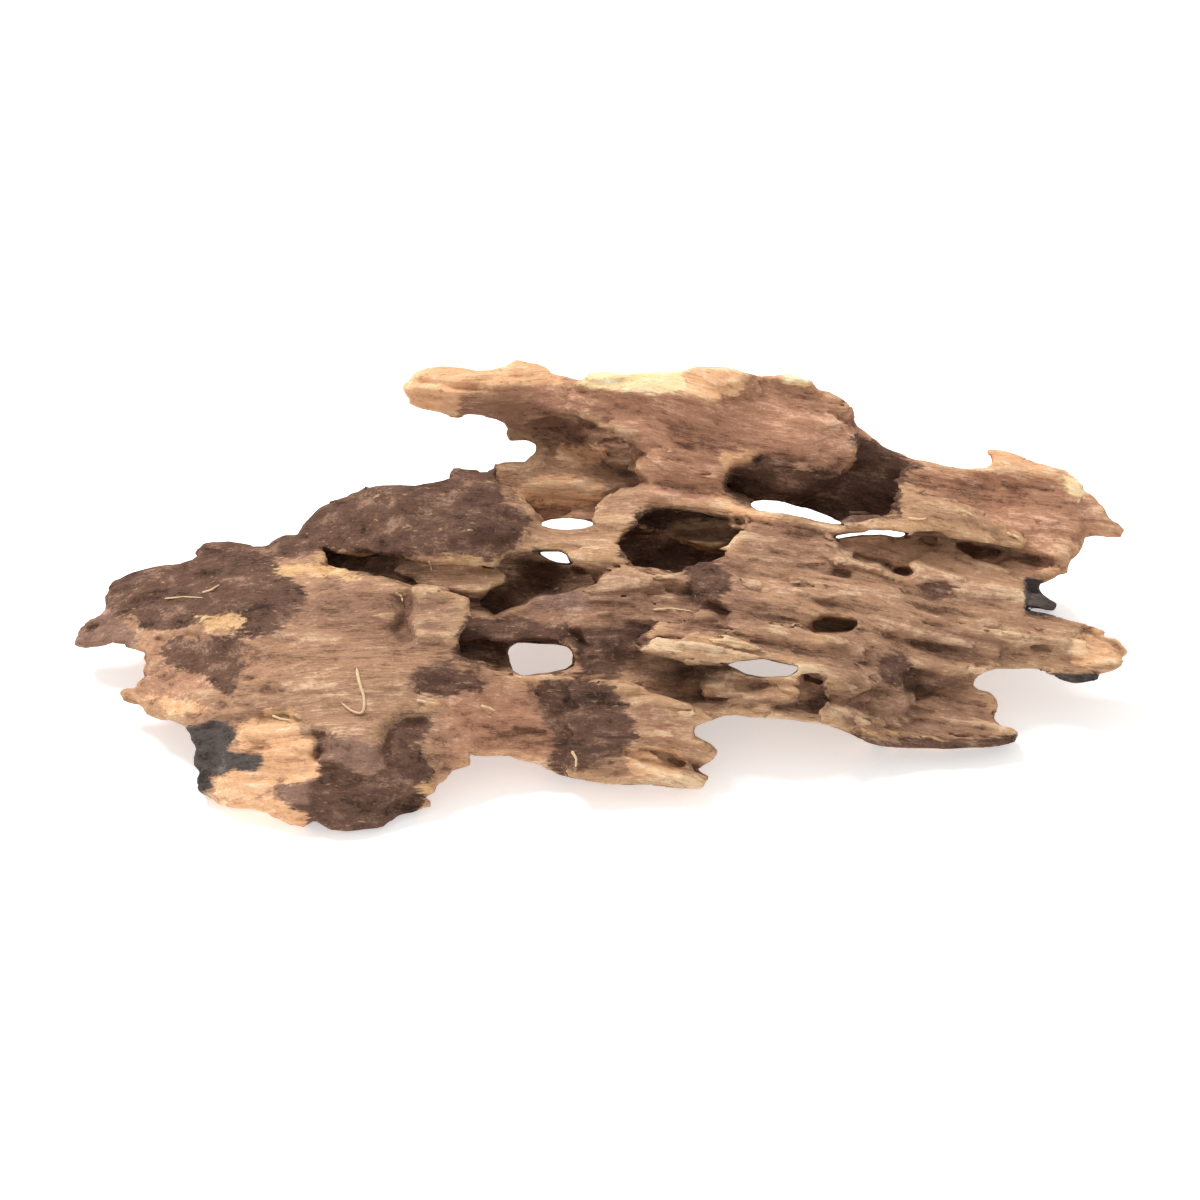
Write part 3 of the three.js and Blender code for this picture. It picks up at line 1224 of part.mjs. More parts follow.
// Corners within FOOT_SNAP of the ground are pushed just below it, so the cut leaves no slivers.
const skin = simplify(largestBody(skinOf(woodField())), TRIANGLES);
for (const point of skin.points) {
  if (Math.abs(point[2]) < FOOT_SNAP) {
    point[2] = -FOOT_SNAP;
  }
}
const solid = toManifold(skin).subtract(toManifold(blockBelowGround())).getMesh();

const geometry = new THREE.BufferGeometry();
geometry.setAttribute('position', new THREE.BufferAttribute(Float32Array.from(solid.vertProperties), 3));
geometry.setIndex(new THREE.BufferAttribute(Uint32Array.from(solid.triVerts), 1));
const drawnLength = Math.max(...SILHOUETTE.map((p) => p[0])) - Math.min(...SILHOUETTE.map((p) => p[0]));
const scale = LENGTH / drawnLength;
geometry.scale(scale, scale, scale);
geometry.computeBoundingBox();
const middle = geometry.boundingBox.getCenter(new THREE.Vector3());
geometry.translate(-middle.x, -middle.y, -geometry.boundingBox.min.z);
geometry.computeVertexNormals();

const wood = new THREE.MeshStandardMaterial({ color: 0x8a6a50, roughness: 0.9, metalness: 0 });
wood.name = 'weathered wood';
const driftwood = new THREE.Mesh(geometry, wood);
driftwood.name = 'driftwood';

const group = new THREE.Group();
group.name = 'driftwood piece';
group.add(driftwood);
export default group;
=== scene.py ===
"""A weathered piece of driftwood that lies on its underside on a pale floor. Metres, +Z up."""
import math

import bpy
import numpy as np
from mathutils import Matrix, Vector


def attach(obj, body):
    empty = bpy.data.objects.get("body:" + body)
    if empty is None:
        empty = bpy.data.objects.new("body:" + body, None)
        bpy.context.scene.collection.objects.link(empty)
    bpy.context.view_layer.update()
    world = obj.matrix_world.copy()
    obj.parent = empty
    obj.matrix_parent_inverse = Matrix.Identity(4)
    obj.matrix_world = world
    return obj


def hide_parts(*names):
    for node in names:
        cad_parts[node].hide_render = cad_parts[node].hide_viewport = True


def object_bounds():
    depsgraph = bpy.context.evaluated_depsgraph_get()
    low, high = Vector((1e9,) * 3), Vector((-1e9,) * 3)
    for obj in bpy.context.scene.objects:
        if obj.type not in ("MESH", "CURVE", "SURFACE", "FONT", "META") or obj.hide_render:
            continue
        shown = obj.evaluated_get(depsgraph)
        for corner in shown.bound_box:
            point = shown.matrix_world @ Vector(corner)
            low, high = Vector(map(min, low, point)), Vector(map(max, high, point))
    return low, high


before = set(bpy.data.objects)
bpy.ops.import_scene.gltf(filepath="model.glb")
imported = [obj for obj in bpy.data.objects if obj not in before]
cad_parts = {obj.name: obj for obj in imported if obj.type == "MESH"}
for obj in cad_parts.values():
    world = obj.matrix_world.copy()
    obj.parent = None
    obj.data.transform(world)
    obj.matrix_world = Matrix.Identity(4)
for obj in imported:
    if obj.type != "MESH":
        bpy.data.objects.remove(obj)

cad_low, cad_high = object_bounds()

# The wood. One piece of old root wood, eaten hollow by water and insects and washed smooth: a leaning
# slab on the left, a ragged plank on the right, a raised log with a pointed arm behind them and a wing
# at the back right. It grew as one, so it is one closed skin, with its layers torn along the grain.
# All sizes of this section are millimetres, and the outlines are drawn at full size on a plane that
# leans back by LEAN and passes PLANE_HEIGHT above the middle of the ground. Each is carried through
# the wood along lines that meet EYE_DISTANCE in front of the plane; depth grows toward that eye.
LEAN = math.radians(40)
UP, OUT = math.sin(LEAN), math.cos(LEAN)
PLANE_HEIGHT = 35
EYE_DISTANCE = 1400

# The grid that the wood is worked out on: its limits along the plane, up it and toward the eye, and its
# step. It is worked out roughly on every third point, and finely where the skin is near.
PLANE_WIDTH = (-167, 167)
PLANE_SPAN = (-78, 80)
DEPTH_RANGE = (-92, 46)
FINE_STEP = ((0.9, 0.6, 0.6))
COARSE_EVERY = 3
NEAR_SKIN = 3.6
MOST_TRIANGLES = 194000
CUBE = list(np.ndindex(2, 2, 2))

# How layers bend, thin out toward their rims and melt into one another, and how the wood meets the ground.
SHEET_REACH = 50
SHEET_SLACK = 0.002
TAPER = 20
STEP_MARGIN = 5
LAYER_MARGIN = 4
LAYER_JOIN = 1.6
ROOT_JOIN = 8
ROOT_MEET = 7
KNUCKLE_JOIN = 5
GROUND_SOFT = 2
GROUND_LIFT = 2
GROUND_SWELL = 1.3
FOOT_DROP = 5
FOOT_SNAP = 0.35

# How its skin is torn, flaked and grooved, and how far the grain runs down beyond GRAIN_TURN.
TORN = 1.1
FLAKE_COUNT = 1.9
FLAKE_EDGE = 0.16
FLAKE_HEIGHT = 0.95
GROOVE_DEPTH = 0.3
FINE_DEPTH = 0.2
LUMPY = 0.6
ROUGH_MARGIN = 8
GRAIN_FALL = 0.16
GRAIN_TURN = 15

# What the colours are measured with: how far a mark's distance counts, how thick a layer shows from the
# front and over how much it fades, and how wide each measure of hollowness looks round a place.
MARK_REACH = 8
SHOWN_DEPTH = 12
SHOWN_FADE = 6
SHOWN_SLACK = 2
NO_WOOD = 999.0
HOLLOW_REACH = {"hollow": 6.5, "edge": 2.2}
HOLLOW_SOFT = 4

# The outline that the photo shows.
SILHOUETTE = [
    (-160, -13.4), (-158, -8.6), (-155.6, -6.3), (-152.9, -4.9), (-150.7, -2.7), (-150.3, 1.1),
    (-149.6, 3.6), (-147.7, 6.3), (-143.9, 7.4), (-139.5, 9.3), (-134, 10.1), (-128.5, 10.9),
    (-124.2, 12), (-122.5, 15), (-120.9, 16.9), (-117.6, 17.6), (-112.1, 17.4), (-106.7, 16.5),
    (-102.8, 16.4), (-99, 17.8), (-96.3, 19.4), (-91.8, 19.7), (-91, 21.9), (-88.5, 24.4), (-85, 27.9),
    (-80.6, 30.4), (-76.8, 31.4), (-74.3, 32.6), (-71.6, 34.9), (-67.5, 34.6), (-62.6, 34.7),
    (-54.9, 34.9), (-49.4, 35.6), (-46.4, 36.3), (-45.6, 37.5), (-44.8, 40), (-43.4, 40.1), (-40.1, 39.3),
    (-34.6, 39.2), (-32.7, 39.8), (-32.1, 41.4), (-22.7, 41.5), (-21.9, 42.6), (-19.9, 44.8),
    (-19.1, 47.5), (-23.8, 49.1), (-27.3, 48.9), (-28.1, 51), (-27.9, 52.7), (-28.7, 54.3), (-33.6, 55.5),
    (-37.4, 56.5), (-40.7, 56.8), (-42.9, 55.9), (-45.7, 56.1), (-49.5, 57.4), (-52.8, 57.9), (-55, 59),
    (-58.2, 60.1), (-58.8, 63.1), (-59.6, 64.5), (-59.6, 66.1), (-57.7, 67.5), (-56.9, 68.9),
    (-52.8, 70.2), (-48.4, 70.9), (-42.9, 70.3), (-37.4, 69.8), (-32.5, 70.1), (-28.7, 70.9),
    (-25.4, 72.7), (-22.6, 72.3), (-18.8, 71.3), (-14.4, 69.7), (-10.6, 68.6), (-6.8, 67.2), (-4, 68),
    (-0.8, 68.9), (2.5, 69.1), (8, 68.6), (15.7, 69), (24.9, 69.1), (29.3, 70.6), (38.6, 70.6),
    (42.9, 69.4), (49, 67.8), (54.4, 68.3), (56.6, 69), (61, 67.5), (64.3, 66.4), (66.5, 63.9),
    (70.9, 62.6), (74.7, 60.4), (77.7, 58.5), (76.9, 57.4), (77.4, 54.4), (78.8, 52.2), (81.8, 50),
    (85.6, 47.2), (89.2, 45.3), (91.7, 44.4), (95, 43.1), (100.4, 41.7), (105.6, 40.3), (112.7, 39.5),
    (117.6, 39.7), (119.8, 41.1), (120.1, 42.8), (118.5, 44.7), (118.7, 45.7), (123.1, 45.1),
    (129.7, 42.8), (136.8, 40.6), (141.2, 39.5), (144.4, 37.3), (146.9, 34.8), (148.3, 32.7),
    (151.5, 29.9), (153.7, 27.8), (154, 25.6), (157.6, 23.1), (159.8, 20.4), (158.9, 18.7), (155.9, 19.1),
    (151.5, 20), (147.4, 19.3), (146.9, 16.3), (145.5, 14.1), (142.8, 11.9), (142, 8.6), (140, 8.3),
    (136.8, 6.4), (133.5, 5.3), (133.5, 3.1), (134.6, 1.2), (137.3, -0.4), (138.7, -1.3), (138.4, -2.6),
    (136.2, -2.6), (132.9, -1.8), (129.7, -1.4), (129.7, -3.4), (134, -4.2), (139.5, -5.6), (145, -7.2),
    (150.5, -8), (154.3, -10.3), (157.6, -11.6), (159.2, -13.3), (160.2, -16.3), (159.2, -19.3),
    (156.5, -21.2), (151.6, -22.2), (151.6, -24), (145, -24.9), (139.5, -23.5), (136.3, -21.8),
    (133, -20.7), (130.2, -20.3), (120.9, -20.4), (117.1, -21.5), (114.3, -22.9), (113.3, -25.6),
    (114.9, -27.8), (118.7, -28.6), (120.6, -30.5), (121.2, -32.4), (120.1, -34.9), (120.1, -36.5),
    (122, -38.5), (125.8, -39.3), (126.9, -40.9), (126.1, -42.8), (123.1, -43.7), (119.8, -44.2),
    (114.3, -44.3), (104.5, -45), (95.7, -44.9), (86.4, -44.2), (82.6, -43.1), (78.9, -41.7), (73.5, -39),
    (69.6, -37.6), (61.4, -36.8), (58.1, -36), (47.7, -35.3), (41.1, -34.6), (37.9, -34.9), (34.7, -36.1),
    (29.1, -37.8), (27.9, -39.8), (28.7, -42.1), (33.4, -44.1), (35.4, -46.1), (34.1, -48.5),
    (29.1, -51.8), (31.7, -53.4), (32.7, -54.1), (31, -57.1), (25.4, -57.3), (20.1, -56.4), (15.4, -55.8),
    (8.1, -56.1), (2.8, -56), (-1.2, -55.1), (-5.2, -54.6), (-10.5, -53.5), (-15.1, -51.5),
    (-19.8, -49.5), (-24.8, -48.8), (-27.8, -47.5), (-34.4, -47.1), (-40, -46.8), (-40, -50.1),
    (-44.7, -52.1), (-49.7, -56.1), (-50.6, -58.1), (-52.2, -60.3), (-51.1, -63.1), (-51.7, -64.2),
    (-55.3, -65.8), (-58.5, -68), (-60.2, -70.7), (-63.7, -71.5), (-68.9, -70.2), (-74.4, -70.4),
    (-78.8, -70.2), (-82.1, -69.9), (-84.3, -68.3), (-87, -66.8), (-90.3, -68.5), (-94.7, -67.9),
    (-98.5, -66.3), (-101.8, -64.3), (-106.7, -63.3), (-112.2, -62.9), (-116.6, -62.2), (-119, -59.8),
    (-121.2, -59), (-122.6, -57.3), (-122.1, -52.4), (-123.9, -49.4), (-123.8, -46.4), (-124.7, -43.3),
    (-124.2, -40.9), (-126.4, -38.1), (-129.7, -36.6), (-134, -35.9), (-138.1, -34.5), (-140.6, -31.7),
    (-145, -30.4), (-146.5, -29), (-145.5, -27.5), (-141.9, -27.4), (-140.3, -25.1), (-138.5, -23.6),
    (-139, -21.9), (-138.5, -19.2), (-139.2, -16.4), (-141.1, -14.8), (-145, -13.7), (-149.9, -13.4),
    (-156.7, -14.3),
]

# Gaps that go right through.
HOLES = [
    [(-18.3, 23.1), (-15.3, 24.4), (-9.8, 25.1), (-4.9, 24.7), (-1.4, 23.6), (-2.2, 22.5), (-4.9, 21.7),
     (-10.4, 21.3), (-15.9, 21.8)],
    [(-19.7, 15), (-12, 15), (-9.9, 13.8), (-9.6, 12.4), (-8.2, 11.3), (-9.9, 10.9), (-13.1, 11.3),
     (-16.4, 12.7), (-18.6, 14.1)],
    [(-28.3, -15.8), (-27.6, -14.1), (-25.7, -13.1), (-20.8, -13), (-14.2, -13.3), (-9.9, -14.1),
     (-8.2, -16), (-8.3, -19.3), (-10.4, -21.2), (-15.3, -22.3), (-19.7, -22.6), (-23.8, -23.3),
     (-26.3, -22), (-27.4, -19.9)],
    [(45.1, 29.2), (47.3, 30.4), (50, 30.7), (54.4, 30.4), (58.8, 29.1), (64.8, 27.5), (68.7, 25.9),
     (73, 24), (75.5, 22.4), (70.9, 23.1), (65.4, 24.2), (61, 25.3), (55.5, 26.4), (51.1, 26.7),
     (47.9, 27.2)],
    [(70.9, 19), (72.2, 19.9), (76.3, 20.5), (79.6, 20.7), (80.4, 20.7), (82.1, 21.6), (88.9, 21.3),
     (94.1, 20.4), (92.7, 19.3), (90, 19.1), (85.6, 19.9), (79, 19.6), (72.5, 18.5)],
    [(38.4, -19.8), (41.7, -18.5), (49.9, -17.8), (55.4, -19.1), (60.9, -20.1), (60.3, -21.7),
     (57.6, -23.4), (49.9, -23.7), (44.4, -22.8), (41.1, -20.9)],
]

# Each layer of wood: its own torn outline, posts (p, q, height above the ground) that its face passes
# through, its thickness in the middle and at the rim, and how round the rim is in front and behind.
LAYERS = {
    "slab": {
        "outline": [
            (-168, -14), (-168, 16), (-130, 16), (-124.2, 12), (-121.7, 12.3), (-112, 13.5), (-106.7, 17),
            (-99, 19), (-92, 21), (-88, 18.2), (-84.5, 14), (-83.3, 10.7), (-79, 9.6), (-75.7, 8.3),
            (-72.9, 7.2), (-66.9, 6.6), (-61.5, 5.3), (-57.1, 3.9), (-50.5, 3.9), (-46.7, 2.2),
            (-42.3, 1.1), (-40.6, -0.2), (-40.1, -6.2), (-42.8, -9.5), (-44.8, -13.4), (-42, -17),
            (-35, -21), (-30.1, -22.8), (-23.8, -23.8), (-15.3, -23.2), (-8, -24), (-3, -30), (-3, -60),
            (-40, -62), (-48, -62), (-50, -80), (-130, -80), (-160, -46),
        ],
        "posts": [
            (-159.5, -12.8, 14), (-146, 0, 24), (-146, -29, 12), (-122, 12, 34), (-98, 17, 40),
            (-107, -6, 38), (-122, -30.5, 23), (-91.5, -30.5, 30), (-67, 0, 44), (-61, -24.4, 34),
            (-116, -55, 9), (-91.5, -55, 15), (-79, -70, 4), (-61, -49, 19), (-52, -61, 8), (-45, -8, 42),
            (-36.6, -36.6, 22), (-12, -36.6, 20), (-15, -50, 9), (-40, -25, 32),
        ],
        "thick": 32, "rim": 8, "round": 1.4, "back": 4,
    },
    "backleft": {
        "outline": [
            (-128, 4), (-128, 22), (-100, 24), (-86, 30), (-40, 32), (-36, 12), (-28.5, 7.4),
            (-29.1, 5.3), (-34.6, 3.3), (-36.8, 0.9), (-40, -8), (-60, -14), (-100, -6),
        ],
        "posts": [
            (-120, 14, 31), (-98, 14, 36), (-84, 14, 35), (-70, 10, 36), (-52, 6, 37), (-32, 5, 34),
            (-60, 28, 44), (-60, -6, 34), (-100, 0, 30),
        ],
        "thick": 24, "rim": 9, "round": 1.4, "back": 4,
    },
    "tongue": {
        "outline": [
            (-55, 14), (-49.9, 11), (-31, 10.5), (-28.5, 7.4), (-29.1, 5.3), (-34.6, 3.3), (-36.8, 0.9),
            (-42.8, 1.4), (-48.3, 3.3), (-54.9, 4.2), (-62, 9), (-60, 16),
        ],
        "posts": [
            (-55, 6, 41), (-32, 6, 41), (-45, 3, 40), (-45, 14, 46),
        ],
        "thick": 16, "rim": 7, "round": 1, "back": 3,
    },
    "plateau": {
        "outline": [
            (-94, 18), (-96, 28), (-74, 40), (-50, 44), (-31.8, 44), (-31.4, 36.5), (-27, 34.4),
            (-24.3, 32.4), (-22.7, 29.7), (-21, 27), (-18.3, 24), (-15.9, 21.8), (-10, 21), (-4, 21.5),
            (-2, 19), (-6, 13), (-9.6, 11.4), (-9.9, 13.8), (-12, 15), (-19.7, 15.2), (-24.1, 15),
            (-27.9, 14.1), (-30.1, 11.3), (-31.3, 9.6), (-36.3, 12.4), (-38.5, 10.7), (-43.9, 11.4),
            (-49.4, 11.1), (-52.7, 11.8), (-56, 12.5), (-60.3, 12.9), (-65.3, 13.7), (-70.2, 14.3),
            (-75.7, 14.6), (-81.2, 14.8), (-84.4, 16.7), (-89.9, 18.9),
        ],
        "posts": [
            (-90, 20, 43), (-70, 33, 55), (-61, 22, 53), (-45, 38, 61), (-33, 38, 61), (-24, 27, 54),
            (-40, 24, 57), (-12, 18, 46), (-49, 12, 47), (-72, 16, 46), (-30, 12, 46),
        ],
        "thick": 26, "rim": 8, "round": 1.2, "back": 4,
    },
    "arm": {
        "outline": [
            (-64, 64), (-62, 76), (0, 78), (70, 76), (84, 58), (77.4, 54.4), (78, 46.7), (77.7, 43.9),
            (76.3, 41.2), (74.7, 39.7), (70.9, 39.4), (67.6, 40.4), (62.1, 43.4), (56.6, 44.5),
            (52.2, 43.9), (47.9, 43.4), (45.7, 42.4), (42.4, 41.6), (40, 40.1), (38.6, 37.9), (38, 34.6),
            (40.2, 32.5), (42.4, 31.1), (43, 29.5), (35, 27.5), (24, 29), (16.4, 28.5), (13.7, 27.2),
            (8, 25.4), (2, 26), (0.9, 26.4), (2.5, 28.6), (4.7, 30.8), (10.2, 32.7), (13.5, 35.7),
            (11.3, 40.1), (12.4, 42.8), (12.9, 45), (10.7, 48.3), (8, 50.2), (4.2, 52.4), (-0.8, 54.3),
            (-6.2, 55.2), (-11.7, 56), (-15, 56.8), (-19, 55), (-24, 52), (-28, 50), (-40, 50), (-60, 56),
        ],
        "posts": [
            (-58, 67, 70), (-57, 64, 69.5), (-57, 60, 63), (-46, 70.5, 76.5), (-46, 65.5, 75),
            (-46, 58, 63), (-30, 70, 78), (-30, 65, 76), (-28, 56, 61), (0, 68, 80), (30, 70, 82),
            (30, 62, 78), (30, 48, 66), (30, 33, 53), (60, 67, 78), (75, 58, 70), (72, 42, 57),
            (55, 46, 62), (-2, 56, 70), (12, 44, 62), (6, 29, 49),
        ],
        "thick": 36, "rim": 11, "round": 1.8, "back": 5,
    },
    "scoop": {
        "outline": [
            (-34, 36), (-34, 46), (-30, 56), (-10, 60), (16, 56), (16, 30), (4, 24.5), (-1.4, 23.6),
            (-4.9, 24.9), (-9.8, 25.3), (-15.3, 24.6), (-18.3, 23.3), (-22, 22), (-34, 26),
        ],
        "posts": [
            (-24, 50, 56), (-10, 54, 55), (8, 48, 46), (-6, 44.5, 48), (-22, 42, 51), (-6, 38, 47),
            (-6, 30, 40), (-8, 25, 33), (8, 32, 42), (-24, 30, 42),
        ],
        "thick": 22, "rim": 9, "round": 1.2, "back": 4,
    },
    "wall": {
        "outline": [
            (30, 24), (34, 44), (60, 52), (78, 58), (92, 48), (120, 42), (122, 26), (100, 20), (80, 22.5),
            (75.5, 22.6), (68.7, 26), (64.8, 27.7), (58.8, 29.3), (54.4, 30.6), (50, 30.9), (47.3, 30.6),
            (45.1, 29.2),
        ],
        "posts": [
            (82, 49, 58), (105, 40, 51), (60, 40, 47), (60, 31, 38), (46, 31, 38), (90, 30, 40),
            (76, 24, 34), (42, 40, 46),
        ],
        "thick": 20, "rim": 8, "round": 1.2, "back": 4,
    },
    "web": {
        "outline": [
            (-31.7, -5.1), (-35.6, -3.2), (-41, -2.5), (-47, -8), (-43, -13), (-34.5, -12.5), (-28, -14),
            (-27.6, -14.1), (-25.7, -13.1), (-20.8, -13), (-14.2, -13.3), (-9.9, -14.1), (-8.2, -16),
            (-8.3, -19.3), (-10.4, -21.2), (-15, -24), (-12, -30), (0, -38), (34, -38), (60, -30),
            (60, 24), (44, 31), (40, 30), (41.3, 22.2), (39.4, 24.4), (35, 26.3), (29.6, 27.8),
            (23, 28.8), (16.4, 28.5), (13.7, 27.2), (10.7, 25), (6.6, 18.7), (5, 16.6), (5.5, 14.6),
            (8.2, 12.1), (11.5, 9.7), (17, 8), (23.5, 7.4), (40.5, 14.6), (44, 22), (40, 31), (20, 34),
            (6, 33), (0, 27), (-1.3, 23.4), (-4.9, 21.7), (-10.4, 21.3), (-15.9, 21.8), (-20, 24),
            (-30, 20), (-28, 15.5), (-19.7, 15.2), (-12, 15), (-9.9, 13.8), (-9.6, 12.4), (-8.2, 11.3),
            (-4.4, 9.4), (-1.1, 7.5), (0, 4.8), (-9.8, 1.5), (-18.1, 0.9), (-26.3, -2.4), (-29.5, -4.3),
        ],
        "posts": [
            (-44, -8, 31), (-32, -8, 32), (-18, -5, 32), (-12, 18, 46), (2, 14, 45), (2, 24, 48),
            (24, 3, 42), (12, -12, 30), (-2, -8, 34), (-4, -30, 21), (12, -30, 20), (30, -30, 21),
            (26, -16, 28), (42, 24, 48), (42, 8, 44), (50, -8, 38),
        ],
        "thick": 28, "rim": 9, "round": 1.4, "back": 4,
    },
    "flap": {
        "outline": [
            (-1.2, -25.5), (4.8, -25.5), (9.4, -26.8), (15.4, -28.8), (20.7, -30.2), (25.4, -32.2),
            (30.7, -34.2), (36, -37), (40, -46), (38, -60), (-5, -60), (-9.5, -53.5), (-9.2, -50.1),
            (-9.5, -44.1), (-8.5, -38.8), (-7.8, -32.2), (-9.2, -27.5),
        ],
        "posts": [
            (-4, -27, 29), (14, -31, 27.5), (29, -36, 23), (-6, -50, 14), (12, -53, 9), (30, -54, 7),
            (12, -40, 20.5), (33, -46, 13),
        ],
        "thick": 20, "rim": 8, "round": 1, "back": 3,
    },
    "bands": {
        "outline": [
            (24, -14), (70, -14), (76, -20), (80, -40), (60, -40), (24, -42), (30.5, -34), (30.8, -24),
        ],
        "posts": [
            (32, -20, 27), (32, -29, 22.5), (32, -36, 17), (66, -24, 27), (66, -36, 17), (50, -30, 22),
        ],
        "thick": 22, "rim": 8, "round": 1.2, "back": 4,
    },
    "lower": {
        "outline": [
            (66, -18), (120, -14), (130, -30), (132, -48), (66, -48),
        ],
        "posts": [
            (76, -30, 20), (100, -26, 19), (88, -41, 9), (118, -30, 14), (125, -41, 8), (100, -42, 8),
        ],
        "thick": 22, "rim": 8, "round": 1, "back": 3,
    },
    "plank": {
        "outline": [
            (11.1, -13.3), (12.6, -11.4), (15.9, -10), (19.2, -8.6), (23, -7.6), (30, -4.5), (34, 2),
            (40, 12), (44, 20), (46, 26), (51.1, 26.5), (55.5, 26.2), (61, 25.1), (65.4, 24),
            (70.9, 22.9), (75.5, 22.2), (80, 22), (79.6, 20.8), (70.9, 19), (72.5, 18.5), (79, 19.5),
            (85.6, 19.8), (90, 19), (92.7, 19.2), (94.1, 20.3), (100, 20), (106.7, 19), (110, 15.2),
            (113.2, 12.4), (117.6, 10), (123.1, 8), (128.6, 5.4), (127.8, 1.8), (128.9, -0.9), (140, -2),
            (166, -8), (166, -28), (140, -26), (130.2, -20.3), (120.9, -20.4), (116.5, -18.7),
            (112.7, -19.3), (110, -20.6), (106.7, -22), (103.4, -22.4), (99.6, -21.3), (95.7, -21.2),
            (91.7, -22.3), (92.5, -23.4), (92.2, -26.7), (95.2, -30), (92, -35), (90, -48), (69.1, -46),
            (69.1, -34.3), (71, -33.2), (69.6, -31.6), (68.8, -27.7), (69.1, -25.6), (70.7, -24.5),
            (69.1, -22.3), (66.3, -20.4), (60.9, -19.7), (55.4, -19), (49.9, -17.6), (44.4, -17.9),
            (40, -18.5), (33.9, -18.3), (27.4, -17.7), (23.5, -16.6), (19.2, -16), (14.8, -15.5),
        ],
        "posts": [
            (12, -13, 37), (28, -10, 40), (42, 18, 47), (60, 24, 49), (76, 12, 44), (55, 0, 42),
            (91.5, -6, 34), (122, 0, 32), (122, -17, 24), (158.6, -17, 21), (60, -18, 34), (76, -28, 26),
            (84, -42, 11), (108, 14, 40),
        ],
        "thick": 26, "rim": 8, "round": 1, "back": 4,
    },
    "wing": {
        "outline": [
            (72, 22), (76, 26), (86.7, 25.6), (90, 26.7), (90.6, 30.8), (92.5, 33.5), (90, 36.3),
            (96, 41), (100, 40.5), (104, 46), (125, 50), (160, 42), (164, 20), (150, 14), (140, 2),
            (126, 2), (122, 8), (126, 17), (110, 18), (94, 20.4), (88.9, 21.4), (80, 21.2),
        ],
        "posts": [
            (76, 22.5, 48), (92, 35, 52), (100, 30, 50), (106, 39, 53), (122, 41, 57), (146, 32, 50),
            (158, 21, 42), (140, 14, 36), (133, 6, 30), (115, 32, 48.5), (125, 24, 43.5), (136, 24, 44),
            (96, 22, 47),
        ],
        "thick": 26, "rim": 8, "round": 1.2, "back": 4,
    },
    "blade": {
        "outline": [
            (90, 36.3), (94, 36), (100, 32), (107.2, 29.9), (112.2, 27.8), (117.6, 25), (124.2, 21.8),
            (126.9, 20.1), (129.4, 18.5), (128.6, 16.8), (120.9, 17.5), (114.3, 18.6), (107.8, 19.6),
            (101.2, 20.1), (94.1, 20.4), (88.9, 21.4), (82, 21.8), (75.5, 22.6), (81.8, 24.5),
            (86.7, 25.6), (90, 26.7), (90.6, 30.8), (92.5, 33.5),
        ],
        "posts": [
            (78, 22.5, 50), (92, 34, 55), (97, 28, 54), (110, 27, 52), (128, 18, 43), (110, 20, 48),
        ],
        "thick": 16, "rim": 7, "round": 0.9, "back": 3,
    },
    "deep": {
        "outline": [
            (-92, 12), (-60, 20), (-20, 22), (6, 30), (46, 31), (60, 26), (90, 22), (128, 18), (136, 6),
            (130, -4), (100, -24), (80, -34), (30, -34), (10, -36), (-10, -30), (-30, -26), (-36, -20),
            (-60, -20),
        ],
        "posts": [
            (-80, 10, 26), (-40, 6, 24), (-20, 12, 28), (-20, 2, 18), (0, 16, 30), (24, 26, 35),
            (24, 16, 25), (24, 9, 21), (60, 10, 28), (120, 12, 24), (-36, -8, 27), (-34, -18, 23),
            (-34, 2, 26), (-10, -16, 20), (10, -30, 14), (30, -20, 20), (60, -24, 18), (70, -8, 24),
            (100, -10, 20), (20, -34, 13),
        ],
        "thick": 18, "rim": 9, "round": 2, "back": 4,
    },
}

